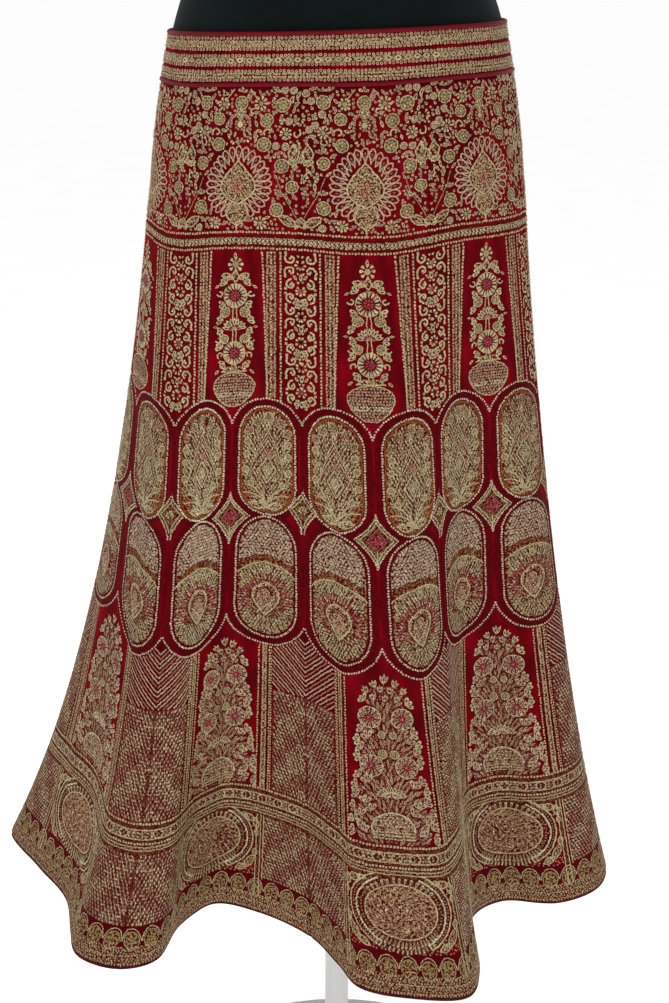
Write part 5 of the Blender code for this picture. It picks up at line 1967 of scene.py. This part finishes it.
# Studio
@dataclass
class Studio:
    """The floor, the lights and the camera."""

    lens: float = 71.21
    place: Colour = (-0.0025, -2.0, 1.30)
    pitch: float = 16.4

    def build(self) -> None:
        """Set up the whole studio."""
        self.build_floor()
        self.build_camera()
        self.add_light("key", (-1.6, -2.4, 2.6), (0.0, 0.0, 0.75), 2.2, 26.0)
        self.add_light("fill", (2.2, -1.8, 1.5), (0.0, 0.0, 0.7), 2.4, 9.0)
        self.add_light("top", (0.0, 0.4, 3.2), (0.0, 0.0, 0.6), 2.6, 14.0)
        self.add_light("back_left", (-2.0, 2.2, 1.8), (0.0, 0.0, 0.7), 1.6, 12.0)
        self.add_light("back_right", (2.0, 2.2, 1.8), (0.0, 0.0, 0.7), 1.6, 12.0)
        world = bpy.context.scene.world or bpy.data.worlds.new("studio")
        bpy.context.scene.world = world
        world.use_nodes = True
        background = world.node_tree.nodes["Background"]
        background.inputs["Color"].default_value = (1.0, 1.0, 1.0, 1.0)
        background.inputs["Strength"].default_value = 0.36
        bpy.context.scene.view_settings.view_transform = "Standard"

    def build_floor(self) -> None:
        """Lay a wide round floor, its rings further apart towards the edge."""
        radius = 40.0 * (np.linspace(0.0, 1.0, 25) ** 2)[::-1]
        radius[-1] = 0.02
        turn = np.arange(64) * (2 * math.pi / 64)
        x = radius[:, None] * np.cos(turn)[None, :]
        y = radius[:, None] * np.sin(turn)[None, :]
        points = np.stack([x, y, np.full_like(x, -0.0006)], axis=-1)
        mesh = make_mesh("floor", points, grid_faces(25, 64, closed=True)[:, ::-1])
        floor = bpy.data.objects.new("floor", mesh)
        bpy.context.scene.collection.objects.link(floor)
        mesh.materials.append(PlainFinish("studio_floor", (0.90, 0.90, 0.90), 0.9, 30.0, 0.66).build())

    def build_camera(self) -> None:
        """Place the camera at the photograph's viewing angle."""
        data = bpy.data.cameras.new("camera")
        data.lens = self.lens
        data.sensor_width = 36.0
        data.sensor_fit = "AUTO"
        camera = bpy.data.objects.new("camera", data)
        camera.location = self.place
        camera.rotation_euler = (math.radians(90.0 - self.pitch), 0.0, 0.0)
        bpy.context.scene.collection.objects.link(camera)
        bpy.context.scene.camera = camera

    @staticmethod
    def add_light(name: str, place: Colour, target: Colour, size: float, power: float) -> None:
        """Add one soft square light that faces a target."""
        data = bpy.data.lights.new(name, "AREA")
        data.shape = "SQUARE"
        data.size = size
        data.energy = power
        light = bpy.data.objects.new(name, data)
        light.location = place
        from_to = np.array(target) - np.array(place)
        flat = math.hypot(from_to[0], from_to[1])
        tilt = math.atan2(flat, -from_to[2])
        light.rotation_euler = (tilt, 0.0, math.atan2(from_to[1], from_to[0]) - math.pi / 2)
        bpy.context.scene.collection.objects.link(light)


def main() -> None:
    """Build every piece of the skirt, the form's finish and the studio."""
    logging.basicConfig(level=logging.INFO, format="%(name)s: %(message)s")
    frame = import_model()
    cloth = SkirtSurface()
    Studio().build()
    velvet = Velvet().build()
    panels = VelvetPanels(cloth)
    thread, beads = MetalThread().build(), BeadedGround().build()
    embroiderer = Embroiderer(cloth)
    draft = PanelDraft(cloth).draw()
    for index in range(PANELS):
        piece = panels.build_panel(index, velvet)
        fills = embroiderer.work_fills(f"bead_work_{index + 1}", draft, [index], beads)
        stitches = embroiderer.work_stitches(f"thread_work_{index + 1}", draft, [index], thread)
        flat = (panels.cut_width(), panels.bottom - panels.top)
        panels.cut_area()
        triangles = [sum(len(p.vertices) - 2 for p in item.data.polygons) for item in (fills, stitches)]
        log.info("%s cut %.3f by %.3f m, %s triangles of embroidery", piece.name, *flat, triangles)
    band = Waistband(cloth)
    cord = SatinCord().build()
    tape = SatinCord("hem_tape", linear(92, 6, 16), linear(58, 3, 10), 0.7).build()
    band_piece = band.build_band(velvet)
    band_draft = BandDraft(cloth).draw()
    band_maker = Embroiderer(cloth, wall=band.wall)
    fills = band_maker.work_fills("band_bead_work", band_draft, range(PANELS), beads)
    stitches = band_maker.work_stitches("band_thread_work", band_draft, range(PANELS), thread)
    band.build_cord("upper_cord", PIPING_R, "piping_upper", cord)
    band.build_cord("lower_cord", BAND_DEPTH, "piping_lower", cord)
    band.build_binding(tape)
    jersey = Jersey().build()
    cap = PlainFinish("cap_coat", linear(16, 16, 17), 0.5).build()
    paint = PlainFinish("stand_paint", linear(238, 238, 236), 0.35).build()
    form = FormAndStand(frame, cloth)
    form.build_cover(jersey)
    form.dress(cap, paint)


if __name__ == "__main__":
    main()
